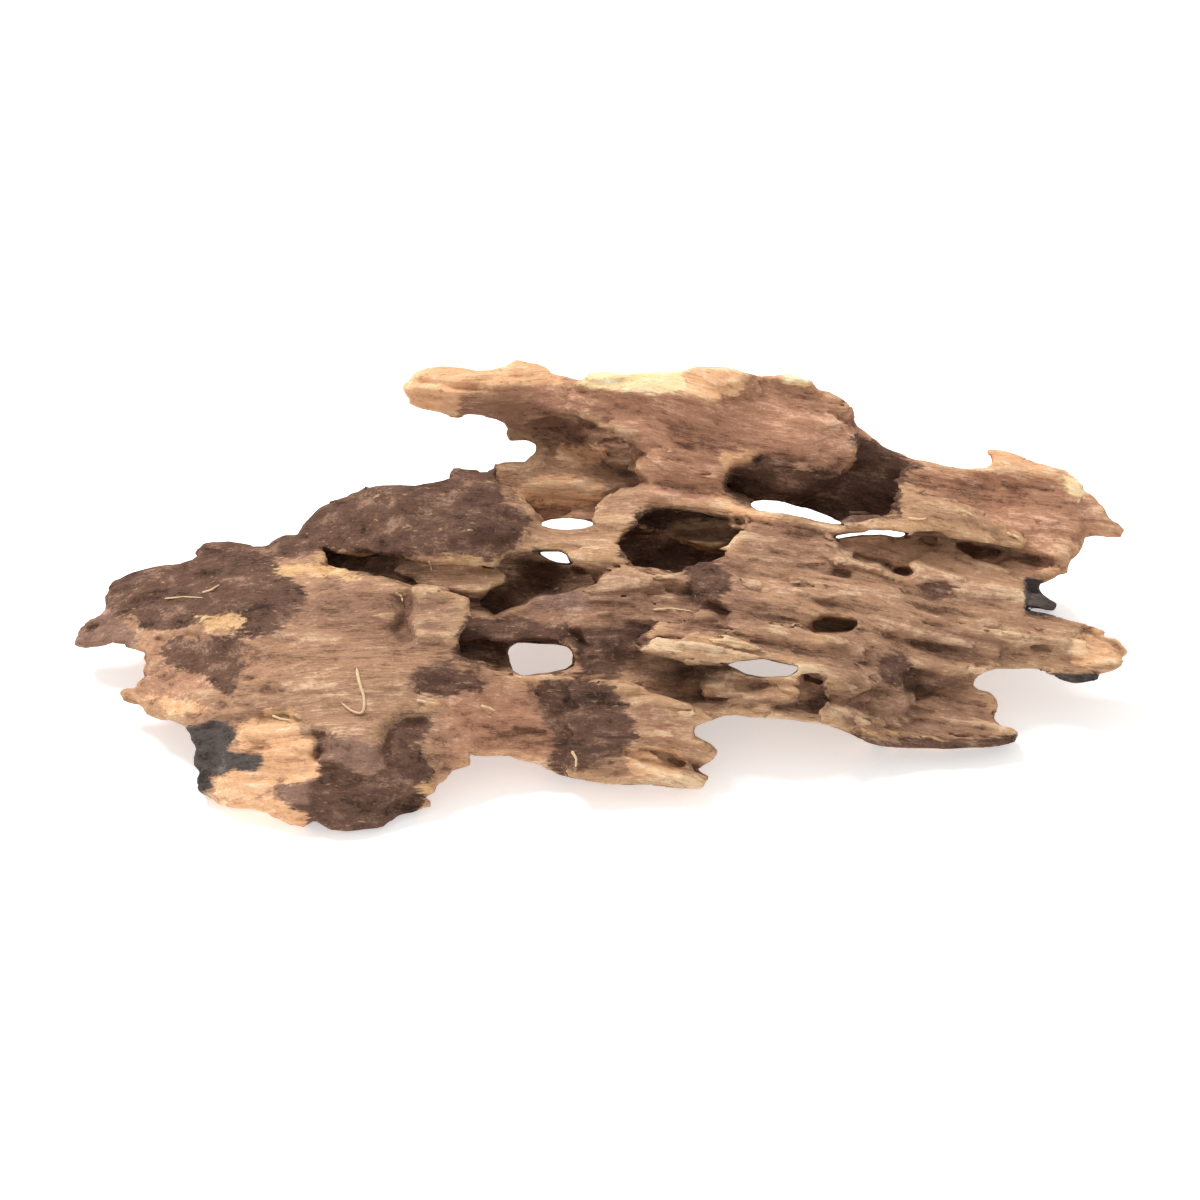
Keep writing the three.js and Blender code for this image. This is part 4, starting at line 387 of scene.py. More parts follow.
# Steps in each layer's face: the outline, the rise toward the eye and how soft its edge is.
STEPS = {
    "slab": [
        ([(-58, 4.6), (-50.5, 5), (-46.7, 3.2), (-42.3, 2.1), (-39, -0.8), (-39, -6.2), (-42, -9.5),
          (-44, -13.4), (-50, -12), (-56, -12.5), (-58, -6), (-56, -1)], 2.6, 1.2),
        ([(-56, -3), (-51, -2.6), (-46, -4.4), (-47, -6), (-52, -4.6), (-56, -5)], -1.2, 1.2),
        ([(-54, -8), (-49, -7.4), (-45, -9), (-46, -10.4), (-51, -9.4)], -1, 1.2),
        ([(-63, 1), (-58, 3), (-56.6, -2), (-58, -8), (-57, -13), (-61, -14), (-64, -10),
          (-61, -4)], -3.4, 2),
        ([(-66, -37), (-60, -34.5), (-54, -35), (-52, -38), (-57, -39), (-62, -41), (-63.5, -46),
          (-62, -51), (-65, -52), (-67, -46)], -2.6, 1.8),
        ([(-64, -46), (-60, -43.5), (-55, -45), (-54, -49), (-57, -52.5), (-62, -51.5)], 1.4, 2),
        ([(-76, -69), (-73.4, -66.6), (-69.5, -65), (-65.1, -62.5), (-62.4, -60.6), (-56, -58),
          (-46, -58), (-46, -80), (-80, -80)], -5, 0.9),
        ([(-117, -36), (-108, -34.5), (-98, -33.5), (-92, -36), (-86, -40), (-85, -47), (-88, -53),
          (-98, -56), (-112, -54), (-121, -50), (-124, -40)], -1.4, 0.8),
        ([(-88, -39.5), (-84.5, -39), (-82, -42), (-83, -47), (-86.5, -50), (-88, -47),
          (-85.6, -44)], -2.2, 1.6),
        ([(-84, -53), (-77, -54.4), (-71, -52.8), (-66, -54), (-66, -56), (-72, -55.4), (-77, -57.4),
          (-85, -55.6)], -1.6, 1.4),
        ([(-81, -43), (-74, -41), (-68, -44), (-70, -51), (-78, -51)], 2.4, 4),
        ([(-99, -56.5), (-93, -54.5), (-87.5, -57), (-87.5, -64), (-95, -65.5), (-100, -61)], 2, 1.6),
        ([(-104, -27.5), (-92, -28.6), (-78, -27.6), (-66, -28.8), (-66, -29.8), (-80, -29), (-92, -30),
          (-104, -28.8)], -0.7, 1),
        ([(-100, -7), (-84, -8), (-70, -6.4), (-66, -7), (-70, -8.2), (-84, -9.6), (-98, -8.6)], -0.7, 1),
        ([(-108, -17), (-96, -18), (-84, -17), (-84, -18), (-96, -19.4), (-108, -18.2)], -0.6, 1),
        ([(-38, -38), (-28, -37), (-20, -38.4), (-20, -39.6), (-30, -38.6), (-38, -39.4)], -0.7, 1),
        ([(-57, -24), (-50, -23), (-46, -25), (-48, -29.5), (-55, -29)], -2, 1.5),
        ([(-21, -27), (-14, -24), (-7, -25), (-6.5, -33), (-12, -37), (-19, -34)], -2, 2.5),
        ([(-135, -11), (-124, -10), (-112, -12), (-110, -20), (-114, -29), (-124, -27), (-128, -20),
          (-135, -17)], -1.8, 1),
    ],
    "plank": [
        ([(77.5, 12.2), (81, 11), (84.8, 10.9), (87.5, 9), (89.5, 7.3), (93.5, 6.5), (96.5, 8), (94, 11),
          (98, 14), (104, 17), (100, 19.5), (85, 19), (73, 18.5), (74, 14)], -3.4, 0.9),
        ([(76.5, 12.6), (81, 11.2), (84.8, 11), (87.5, 9.2), (89.5, 7.6), (93.5, 6.8), (96, 8.2),
          (93, 9.8), (90, 10.2), (87, 12.2), (82, 13.4), (78, 14.2)], -3, 1.2),
        ([(62, 8.6), (70, 8), (78, 6.4), (86, 4.6), (86, 3.4), (77, 4.6), (70, 6), (62, 7)], -1.3, 1),
        ([(96, -1.6), (106, -3), (117, -5.6), (117, -7), (105, -5), (96, -3.2)], -1.2, 1),
        ([(46, 3), (54, 2.4), (62, 0), (61, -1.4), (54, 0.6), (46, 1.4)], -1.2, 1),
        ([(86, -10), (97, -12), (108, -14.6), (108, -16), (96, -14), (86, -11.6)], -1.1, 1),
        ([(114, 2.6), (121, 0.6), (128, 0.6), (128, -0.8), (121, -1), (114, 1)], -1.1, 1),
        ([(50, 14), (60, 14.6), (70, 12.4), (70, 11), (60, 12.6), (50, 12.4)], -1.1, 1),
        ([(97.8, 2.8), (99, 4.6), (102.8, 5.5), (106.5, 4.7), (107.8, 2.8), (106.5, 0.9), (102.8, 0.1),
          (99, 1)], -2, 1),
        ([(104.5, 7.8), (110, 4.2), (119, 5), (128, 5), (130, -2), (150, -8), (140, -14), (120, -12),
          (100, -8), (80, -4), (60, 2), (60, 8), (80, 6), (95, 4)], 1.6, 1),
        ([(138, -16), (130.8, -18), (122, -18.6), (121, -21.5), (140, -27), (168, -28), (168, -16),
          (152, -15)], -0.8, 4),
        ([(24, 0.5), (30, 0), (36, -1), (40, -3.7), (38, -6.7), (35, -4), (28, -2.2)], -5, 1),
        ([(63.9, -8.3), (65.2, -7), (67.2, -5.3), (70.7, -5.2), (77.8, -6.7), (77.3, -8.9), (71.8, -10),
          (65.8, -9.7)], -10, 0.8),
        ([(44, 20), (52, 24), (58, 22), (50, 17), (43, 13)], -2.5, 2),
        ([(70, -26), (78, -25), (86, -28), (84, -36), (76, -38), (70, -33)], -1.6, 1.2),
    ],
    "bands": [
        ([(36, -31), (42, -30), (50, -29.8), (55, -30.6), (50, -32), (42, -32.4)], -3, 1.4),
        ([(61, -22), (66, -21.6), (70, -25), (69.5, -33), (66, -36.5), (64, -32), (65.4, -27.6),
          (62, -25)], -2.4, 2.4),
        ([(30, -21.4), (40, -21), (52, -23.6), (60, -23.4), (60, -25), (50, -25.2), (38, -24),
          (30, -24)], -5, 0.8),
        ([(30.8, -24), (44, -24.6), (60, -25), (69, -26), (69, -30), (54, -29.6), (42, -29.8),
          (31, -30)], 2.8, 0.8),
    ],
    "lower": [
        ([(92, -27), (96, -24), (104, -24.5), (110, -23), (113, -22), (112, -26), (104, -28),
          (96, -31)], -3, 1.6),
    ],
    "arm": [
        ([(-7.9, 65.3), (-3.5, 63.9), (2, 63.1), (4.7, 61.9), (9.6, 63.1), (14.6, 61.5), (24.9, 61.8),
          (30.9, 60.7), (36.4, 60.3), (43, 61.8), (46, 66), (44, 76), (0, 76), (-4, 68)], 2.6, 0.7),
        ([(-60, 63.8), (-51, 63.2), (-44, 62.2), (-38, 61.4), (-44, 60.8), (-52, 61.6),
          (-60, 62.2)], -2, 0.9),
        ([(-60, 67.4), (-51, 67), (-43, 65.6), (-34, 65), (-28, 63.4), (-36, 63.4), (-44, 64.2),
          (-52, 65.4), (-60, 66)], -1.6, 0.9),
        ([(-16, 61.6), (-4, 60), (8, 58.4), (20, 58.6), (20, 57.6), (8, 57), (-4, 58.4),
          (-16, 60)], -0.9, 1),
        ([(24, 52), (34, 50.4), (46, 51.4), (58, 50), (58, 49), (46, 50), (34, 49), (24, 50.6)], -0.8, 1),
        ([(14, 39), (24, 38), (34, 39.4), (34, 38.2), (24, 36.6), (14, 37.8)], -0.8, 1),
        ([(55, 66), (60, 64.8), (64.5, 65.5), (66, 70), (56, 72)], 1.6, 0.8),
    ],
    "wing": [
        ([(140.5, 38.5), (146, 35), (147.7, 31.8), (145.6, 28.6), (146.2, 26), (147.4, 22), (144.4, 18.6),
          (143.4, 15), (141, 8), (150, 4), (168, 14), (164, 46), (142, 48)], -2, 0.6),
        ([(103, 32), (108, 36.5), (120, 37), (132, 31), (134, 24), (128, 18), (122, 18),
          (110, 24)], -0.8, 5),
    ],
    "flap": [
        ([(7, -46), (14, -45), (22, -46.5), (26, -50), (22, -54), (10, -53)], -2, 1),
    ],
    "scoop": [
        ([(-4, 53), (7, 50), (12, 45), (13, 38), (6, 36), (-2, 42)], -2.5, 6),
        ([(-14, 48), (-4, 47.6), (2, 46), (1, 41.6), (-8, 41), (-13, 43)], 1.4, 0.7),
    ],
    "deep": [
        ([(23.5, 18.8), (28.5, 18.6), (33.5, 18), (39.8, 18.2), (39, 16.4), (33.5, 15.8),
          (28.5, 16.8)], 13, 1.1),
        ([(6, 25), (12, 25), (17.6, 21.4), (15, 20.6), (10, 21.4), (6, 21.4)], 13, 1.2),
    ],
    "web": [
        ([(-8.8, -10), (-6.5, -9.5), (-3, -14.5), (-4.9, -16)], -4, 1.5),
        ([(14, 2), (22, 5), (28, 4), (30, -1), (24, -4), (16, -2)], -3, 2),
    ],
    "plateau": [
        ([(-60, 30), (-46, 33), (-36, 30), (-40, 24), (-56, 23)], -2, 3),
    ],
}

# Roots under the back: from, to and the radius at each end.
ROOTS = [
    ((58, 50, 54), (42, 60, 22), 15, 9),
    ((42, 60, 22), (35, 66, -4), 9, 11),
    ((24, 52, 56), (27, 62, 26), 12, 9),
    ((27, 62, 26), (29, 66, -4), 9, 12),
    ((142, 24, 32), (137, 33, 12), 9, 6),
    ((137, 33, 12), (134, 37, -3), 6, 7),
    ((126, 26, 26), (132, 35, 8), 7, 5),
]

# Low knuckles that it stands on, in the same form.
KNUCKLES = [
    ((-104, -50, 8), (-70, -58, 3), 9, 8),
    ((-2, -44, 6), (24, -46, 2), 8, 7),
    ((84, -33, 6), (122, -31, 2), 7, 6),
]

# Hollows eaten into the underside: centre and radii.
HOLLOWS = [
    ((-92, -20, 4), (30, 13, 15)),
    ((22, 6, 6), (30, 11, 10)),
    ((68, 14, 8), (34, 9, 11)),
    ((84, -12, 3), (28, 8, 10)),
    ((-52, 20, 9), (24, 9, 8)),
    ((112, 18, 14), (20, 8, 8)),
]

# Where it touches the ground: the spot and its radius.
FEET = [((-80, -56), 16), ((6, -45), 12), ((26, -46), 9), ((112, -32), 12), ((31, 66), 16), ((134, 37), 10)]

# What is only colour, on the face that is seen from the front, as outlines on the leaning plane: old
# purple-brown wood, also painted shade in the hollow and on the wall under the log and under the plank's
# lower edge; its paler grey-pink places; brown worn wood, also painted shade beside the block, under the
# arm and in a notch; painted shade in the hollows, gaps and notches; charred wood, also painted shade on
# the hook and under the right end; freshly torn orange wood and pale cream wood, which on the tops of the
# log, the arm and the wing's tip are partly painted highlight; and straw chips.
MARKS = {
    "dusk_and_shade": [
        [(-156, -3), (-160, 8), (-150, 18), (-135, 20), (-121, 24), (-107, 22), (-98, 24), (-88, 26),
         (-83.4, 15.5), (-88.3, 11.9), (-98, 11.3), (-93.2, 5.8), (-88.3, 0.9), (-93.2, -6.4),
         (-100.4, -10), (-107.7, -10.6), (-117.4, -8.2), (-129.6, -9.4), (-136.9, -8.8), (-145.4, -5.1)],
        [(-134.4, -13.6), (-129.6, -11.2), (-111.4, -11.2), (-108.3, -13.6), (-109.5, -22.1),
         (-111.4, -28.2), (-115, -28.2), (-119.9, -24.6), (-125.9, -20.9), (-132, -18.5)],
        [(-98.6, -59.8), (-98, -54.9), (-88.3, -55.5), (-86.5, -50.1), (-87.1, -42.8), (-85.3, -40.3),
         (-81, -41.6), (-79.8, -48.8), (-71.3, -53.7), (-65.2, -51.3), (-66.5, -44), (-65.2, -39.1),
         (-60.4, -34.3), (-49.5, -34.3), (-51.9, -40.3), (-56.7, -44), (-53.1, -48.8), (-50.7, -53.7),
         (-53.1, -61), (-56.7, -70), (-62.8, -73), (-73.7, -72), (-81, -70), (-88.3, -68.3),
         (-94.4, -66.4)],
        [(-60.4, -22.1), (-54.3, -19.7), (-45.8, -19.7), (-43.4, -23.3), (-38, -23), (-32.5, -26.5),
         (-44.6, -28.2), (-50.7, -29.4), (-56.7, -28.2)],
        [(-96, 18), (-84, 15), (-66, 13), (-50, 12.5), (-36, 12.5), (-30, 14), (-20, 22), (-27, 33),
         (-31, 37), (-30, 50), (-60, 50), (-100, 34)],
        [(-44.6, -17.3), (-44.6, -10), (-40, -5.1), (-26.4, -3.9), (-8.2, -8.8), (0, -10), (10, -6),
         (16, -8), (12, -16), (4, -24), (-4.5, -21), (-9, -13), (-28, -13), (-31, -20)],
        [(-21.5, -29.4), (-15.5, -23.3), (-4.5, -24.6), (4, -27), (8, -34), (12, -42), (6, -48), (0, -52),
         (-4, -53), (-11.8, -54), (-16.7, -51.3), (-13, -44), (-16.7, -34.3)],
        [(24, 13), (30, 14), (38, 12), (40, 6), (36, 0), (38, -3), (30, -1), (25, 2)],
        [(97.4, 2.8), (99.5, 4.8), (103, 5.5), (106, 5), (108, 2.8), (106, 0.7), (102, 0)],
        [(84, -16), (92, -15.6), (96, -19), (93, -23), (91, -28), (86, -25)],
        # Darker wood and painted shade inside the hollow under the log.
        [(10.7, 25), (13.7, 27.2), (16.4, 28.5), (23, 28.8), (29.6, 27.8), (35, 26.3), (39, 24.6),
         (30, 25.6), (22, 25), (18, 21), (22, 17), (30, 14), (36, 13.6), (23.5, 7.4), (17, 8),
         (11.5, 9.7), (8.2, 12.1), (5.5, 14.6), (6.6, 18.7)],
        # Painted shade under the plank's lower edge.
        [(77, -40.5), (92, -42), (128, -41.4), (129, -50), (80, -50)],
        # Painted shade on the wall under the log's overhang.
        [(40, 40), (50, 43), (66, 40), (78, 40), (78, 50), (84, 48), (92, 45), (99, 39), (93, 37),
         (91, 27), (78, 22), (70, 24), (56, 29.5), (44, 30), (38, 34)],
    ],
    "mauve": [
        [(-166, -18), (-161, -6), (-152, -3), (-143, -8), (-140.5, -13), (-148, -18)],
        [(-85.3, -41.6), (-78.6, -41.6), (-65.2, -44), (-65.2, -50.1), (-71.3, -53.7), (-78.6, -48.8),
         (-85.9, -48.8)],
        [(-99, -56), (-94, -54), (-89, -56), (-88, -61), (-96, -62)],
        [(-20, 3), (-8, 3), (-4, -2), (-10, -4), (-22, -3)],
    ],
    # Painted shade in the hollows, gaps and notches and under overhangs.
    "soot_and_shade": [
        [(-31.4, 9.7), (-27.9, 14.1), (-24.1, 15), (-19.8, 15.1), (-7.7, 10.8), (-4.4, 9.4), (-1.1, 7.5),
         (0, 4.8), (-9.8, 2.5), (-18.1, 1.9), (-26.3, -2.4), (-29.5, -4.3), (-31.7, -5.1), (-35.6, -2.9),
         (-38.6, -1.3), (-36.1, 2), (-30.1, 4.2), (-28.4, 5.9), (-28.2, 7.5)],
        [(-84, 16), (-76, 13.5), (-64, 12.5), (-52, 10.5), (-50, 7), (-57, 4), (-68, 7), (-76, 9)],
        [(-34, -12.5), (-28.5, -15), (-27.6, -22), (-31, -21.5), (-35, -16)],
        [(38.4, 36), (41, 40.6), (49, 42.5), (60, 41), (52, 36), (50, 31), (45, 30), (40, 32)],
        [(12, -15.5), (26, -17.6), (38, -19), (41, -21), (33, -24), (31, -27.5), (20, -27), (8, -22)],
        [(31, -30), (44, -31), (60, -30.5), (69, -27), (71, -33), (56, -33.2), (40, -33)],
        [(72, 20), (74.5, 18.6), (75, 15.5), (73, 15.5), (71, 18)],
        [(-117, 0), (-112, 1), (-112, -1), (-118, -2)],
        [(92, -21.6), (97, -22.6), (98, -27), (94.5, -30), (92, -27)],
        [(-9.6, -9), (-6.5, -9.5), (-4.5, -14.5), (-7, -16), (-8.5, -13)],
        [(24, 0.8), (30, 0), (36, -1), (40.5, -3.7), (38.5, -6.7), (36, -3), (28, -1.4)],
    ],
    "brown_and_shade": [
        [(-97, -10), (-92, 0), (-84, 6.5), (-72, 5), (-62, 2), (-58, -6), (-62, -14), (-72, -13),
         (-84, -8)],
        [(-60, 5), (-50, 5), (-41, 1), (-40, -6), (-44, -14), (-52, -14), (-60, -15), (-65, -10),
         (-62, -2)],
        [(-50, -18), (-40, -19), (-30, -23), (-31, -26), (-42, -25), (-52, -22)],
        [(26, 12), (44, 14), (46, 2), (52, -6), (40, -9), (24, -8), (22, 2)],
        [(70, -10), (84, -12), (94, -16), (95, -24), (90, -32), (70, -34), (68, -26), (70, -18)],
        [(100, -10), (124, -12), (126, -19), (114, -18), (104, -20), (98, -18)],
        # Painted shade in the notch beside the block.
        [(-66, -16), (-56, -14), (-54, -2), (-64, -2)],
        [(-34, 2), (-18, 4), (0, 8), (22, 6), (30, -4), (12, -8), (10, -16), (-6, -13), (-28, -12),
         (-42, -8)],
        [(40, 8), (44, 20), (60, 24), (72, 18), (70, 12), (60, 12)],
        [(92, -22), (114, -22), (112, -30), (121, -33), (120, -43), (84, -42), (70, -36), (72, -26)],
        # Painted shade under the arm's rim, at the back of the scoop.
        [(-30, 46), (-12, 47), (4, 46), (12, 44), (12, 52), (-8, 58), (-24, 56)],
        [(-2, 24), (6, 31), (14, 36), (10, 44), (4, 40), (0, 32)],
        [(107, 31), (109, 37), (118, 37), (118, 30)],
        # Painted shade in the notch between the bands and the stub.
        [(61, -21), (68, -23), (70, -28), (69.5, -36), (65, -35), (62, -30)],
        # Painted shade on the arm's lower side.
        [(-43, 64), (-30, 63), (-12, 58), (-8, 53), (-20, 47), (-30, 50), (-44, 55)],
    ],
    "pink": [
        [(-70, 60), (-60, 80), (84, 80), (86, 50), (78, 40), (60, 42), (48, 42), (38, 34), (40, 28),
         (14, 26), (10, 36), (12, 46), (-10, 56), (-30, 52), (-50, 54)],
        [(88, 46), (160, 46), (166, 18), (140, 2), (128, 8), (128, 19), (112, 28), (96, 36)],
        [(-44, -18), (-30, -22), (-10, -26), (-12, -56), (-46, -54), (-48, -30)],
    ],
    "tan": [
        [(-30, 30), (-30, 44), (-14, 43), (-4, 37), (4, 38), (8, 34), (0, 28), (-8, 26), (-18, 27)],
        [(20, 7), (26, 7), (26, 1), (18, 0)],
    ],
    "fresh": [
        [(-112.6, -41.6), (-108.9, -37.9), (-100.4, -34.3), (-93.2, -35.5), (-90.7, -41.6), (-87.1, -44),
         (-85.9, -53.7), (-93.2, -56.1), (-98, -54.9), (-100.4, -57.3), (-107.7, -61), (-118, -60.5),
         (-118.4, -54.5), (-113.8, -51.3), (-102.9, -48.8), (-102.9, -46.4), (-112.6, -46.4),
         (-111.4, -44)],
        [(-119, -61), (-107.7, -61.5), (-100, -60), (-90, -65.5), (-90, -70), (-120, -66)],
        [(143, -15), (145.3, -10.7), (151.8, -8), (162, -12), (162, -18), (155, -20), (149, -20),
         (145.3, -19)],
        # Pale torn wood on the arm's top, partly painted highlight where the light falls.
        [(-62, 66), (-58, 73), (-44, 73), (-24, 76), (-10, 72), (-12, 66), (-28, 65), (-42, 64),
         (-44.5, 56), (-60, 56)],
        # Pale torn wood on the log's top, partly painted highlight where the light falls.
        [(24.7, 72), (42.9, 72), (43.5, 63.9), (35.6, 60.8), (24.7, 63.9)],
        [(-12.9, 47.5), (1.6, 45.7), (0.4, 40.8), (-8.1, 40.8), (-12.9, 43.2)],
        [(-138, -29), (-124, -30.5), (-118, -33.5), (-130, -35)],
        [(108, 42), (118, 39), (128, 39.6), (142, 36), (148, 30), (152, 34), (140, 44), (118, 48)],
        [(33.2, 34.1), (38, 31.1), (44.1, 27.4), (54, 26.4), (54, 24.8), (41.7, 25.2), (35.6, 29.9)],
        [(7, -46), (14, -44), (24, -46), (27, -50), (24, -54), (10, -54)],
        [(36.4, 44.4), (47.5, 44.8), (45.1, 42), (38.6, 40)],
        [(-26, 34), (-22, 38), (-8, 38), (2, 35), (0, 30), (-14, 28), (-24, 30)],
    ],
    # Pale cream wood on the top of the log and the wing's tip, partly painted highlight where the light
    # falls.
    "cream_and_highlight": [
        [(-7.5, 65.7), (-4, 69), (7.7, 72), (24.7, 72), (25.9, 63.9), (15, 63.3), (7.7, 63.9),
         (1.6, 63.9)],
        [(54.5, 70), (60, 70), (65, 66), (64, 65), (57, 65)],
        [(141.1, 37.3), (144.7, 39), (148, 33), (146.5, 30), (141.7, 34.2)],
    ],
    "straw": [
        [(123.5, 20.9), (127.7, 20.3), (129.5, 17.2), (127.1, 17.5)],
        [(108.3, 28.4), (113.2, 26.9), (112.5, 25.7), (109.5, 26.3)],
        [(93.7, 25.1), (98.6, 25.7), (98, 23.9), (94.3, 23.5)],
        [(28, -11.4), (37, -11.2), (45, -13.4), (38, -13.8), (32.4, -12.6)],
        [(-123.5, -5.1), (-112.6, -4.5), (-108.9, -5.1), (-108.9, -8.2), (-115, -9.4), (-119.9, -9.4)],
        [(-99.8, 9.4), (-93.2, 11.3), (-83.4, 11.3), (-74.9, 7.6), (-73.7, 5.8), (-82.2, 7), (-88.3, 7.6),
         (-96.8, 7.6)],
        [(-50.7, 13.4), (-36.1, 12.5), (-36.1, 10.6), (-44.6, 11.3)],
        [(-101.7, -34.3), (-94.4, -33.7), (-91.3, -37.9), (-98, -36.7)],
        [(-56.1, -56.7), (-51.3, -55.5), (-51.3, -59.2), (-55.5, -58.6)],
        [(-56.1, -34), (-52.5, -30.6), (-48.2, -31.2), (-51.9, -33.1)],
        [(-36.1, -32.5), (-31.2, -32.8), (-33.7, -34.3)],
        [(-8.2, -46.4), (-5.7, -48.8), (-8.2, -52.5)],
        [(-61.6, 4), (-59.2, 3.4), (-60.4, 0.9)],
        [(-6, 12.8), (-1, 11.5), (0, 9.8), (-4, 11)],
        [(79.8, -39.8), (91.9, -39.2), (93.1, -40.4), (83.4, -41.3)],
        [(34, 64), (41, 63.6), (41, 62.4), (36, 62.6)],
        [(52.5, 64.4), (57, 63.6), (56.5, 62.6), (54, 63.2)],
        [(24.5, 18.4), (29, 19), (34, 18.4), (39, 18.4), (38.5, 16.4), (33, 15.4), (28, 16.6)],
        [(12, 22.8), (15.6, 21), (13, 20.8)],
    ],
    "char_and_shade": [
        [(-118.2, -36.2), (-120.9, -37.9), (-130, -39), (-132, -49.4), (-126, -54), (-119.8, -53.8),
         (-115.5, -53.8), (-113, -52.9), (-112.4, -51.6), (-104, -52.1), (-103.1, -49.4), (-102, -48),
         (-103.4, -47.2), (-112.7, -46.5), (-113.5, -45), (-110.3, -41.2), (-112.7, -38.1),
         (-115.7, -36.5)],
        [(-128, -52), (-118.5, -53), (-118, -58.5), (-128, -60)],
        # Painted shade under the right end's lower edge.
        [(138, -22.6), (152, -22), (154, -29), (138, -29)],
        # Painted shade on the hook.
        [(129.5, 7), (134.5, 7), (140, 0.5), (140.5, -5), (129.5, -4.4)],
    ],
}


def hashed(ix, iy, iz, seed):
    """A repeatable number from -1 to 1 for each corner of a unit grid, from its mixed bits."""
    bits = (ix * np.uint32(374761393)) ^ (iy * np.uint32(668265263)) ^ (iz * np.uint32(2147483647))
    bits = bits ^ np.uint32(seed * 144665)
    bits = (bits ^ (bits >> np.uint32(13))) * np.uint32(1274126177)
    bits = (bits ^ (bits >> np.uint32(15))) * np.uint32(2246822519)
    return (bits >> np.uint32(9)).astype(np.float32) * np.float32(2 / 8388608) - np.float32(1)


def noise(place, length, width, seed):
    """Smooth noise from -1 to 1, in lumps of this length along the first axis and this width along the
    others: the hashed numbers of the eight corners round a point, eased between."""
    scaled = (place[0] / length, place[1] / width, place[2] / width)
    low = [np.floor(a).astype(np.int32) for a in scaled]
    tx, ty, tz = (np.float32(1) * a - b for a, b in zip(scaled, low))
    tx, ty, tz = (t * t * t * (t * (t * 6 - 15) + 10) for t in (tx, ty, tz))
    ix, iy, iz = (a.astype(np.uint32) for a in low)
    one = np.uint32(1)

    def sheet(jz):
        """The numbers eased between the four corners of the unit cell at this height."""
        a, b = hashed(ix, iy, jz, seed), hashed(ix, iy + one, jz, seed)
        a = a + (hashed(ix + one, iy, jz, seed) - a) * tx
        b = b + (hashed(ix + one, iy + one, jz, seed) - b) * tx
        return a + (b - a) * ty

    near = sheet(iz)
    return near + (sheet(iz + one) - near) * tz


def smooth_max(a, b, r):
    """The larger of two distances, with the crease between them filled over r."""
    return np.maximum(a, b) + np.maximum(r - np.abs(a - b), 0) ** 2 / np.float32(4 * r)


def smooth_min(a, b, r):
    """The smaller of two distances, with the corner between them filled over r."""
    return -smooth_max(-a, -b, r)


def smooth_step(t):
    """Eases from 0 to 1 as t runs from 0 to 1."""
    t = np.clip(t, 0, 1)
    return t * t * (3 - 2 * t)


def outline_distance(outline, p, q):
    """The distance to the nearest edge of a closed outline, negative where a ray crosses it an odd
    number of times."""
    best = np.full(np.shape(p), 1e9)
    inside = np.zeros(np.shape(p), bool)
    points = np.asarray(outline, float)
    for (ax, ay), (bx, by) in zip(points, np.roll(points, -1, 0)):
        ex, ey = bx - ax, by - ay
        t = np.clip(((p - ax) * ex + (q - ay) * ey) / (ex * ex + ey * ey), 0, 1)
        best = np.minimum(best, (p - ax - t * ex) ** 2 + (q - ay - t * ey) ** 2)
        if ay != by:
            inside ^= ((ay > q) != (by > q)) & (p < ex * (q - ay) / (by - ay) + ax)
    return np.where(inside, -np.sqrt(best), np.sqrt(best))


def to_space(p, q, depth):
    """Along the plane and up it, both drawn in toward the eye as depth grows, then out along its normal."""
    shrink = (EYE_DISTANCE - depth) / EYE_DISTANCE
    up_plane = q * shrink
    return p * shrink, up_plane * UP - depth * OUT, PLANE_HEIGHT + up_plane * OUT + depth * UP


def to_plane(x, y, z):
    """The plane's own p, q and depth of a point of space: to_space the other way round."""
    depth = (z - PLANE_HEIGHT) * UP - y * OUT
    shrink = (EYE_DISTANCE - depth) / EYE_DISTANCE
    return x / shrink, (y * UP + (z - PLANE_HEIGHT) * OUT) / shrink, depth


def sheet_through(posts, p, q):
    """Depth of a thin bent sheet through posts (p, q, height): a plane plus r squared log r for each
    post."""
    posts = np.array(posts, float)
    x, y = posts[:, 0] / SHEET_REACH, posts[:, 1] / SHEET_REACH
    rise = (posts[:, 2] - PLANE_HEIGHT - posts[:, 1] * OUT) / (UP - posts[:, 1] * OUT / EYE_DISTANCE)
    count = len(posts)

    def bend(r2):
        """What a post at this squared distance adds."""
        return 0.5 * r2 * np.log(r2 + 1e-9)

    system = np.zeros((count + 3, count + 3))
    square = (x[:, None] - x[None]) ** 2 + (y[:, None] - y[None]) ** 2
    system[:count, :count] = bend(square) + SHEET_SLACK * np.eye(count)
    system[:count, count:] = np.stack([np.ones(count), x, y], 1)
    system[count:, :count] = system[:count, count:].T
    weights = np.linalg.solve(system, np.r_[rise, 0, 0, 0])
    p, q = p / SHEET_REACH, q / SHEET_REACH
    depth = weights[-3] + weights[-2] * p + weights[-1] * q
    for k in range(count):
        depth = depth + weights[k] * bend((p - x[k]) ** 2 + (q - y[k]) ** 2)
    return depth


def limb_distance(start, end, radius, end_radius, place):
    """Distance to a line between two points, less a radius that changes evenly along it."""
    x, y, z = place
    line = np.subtract(end, start)
    t = ((x - start[0]) * line[0] + (y - start[1]) * line[1] + (z - start[2]) * line[2]) / (line @ line)
    t = np.clip(t, 0, 1)
    off = [a - start[n] - t * line[n] for n, a in enumerate(place)]
    return np.sqrt(off[0] ** 2 + off[1] ** 2 + off[2] ** 2) - radius - (end_radius - radius) * t


def ruler(limits, step):
    """The grid's places between two limits."""
    return np.arange(limits[0], limits[1] + step, step)


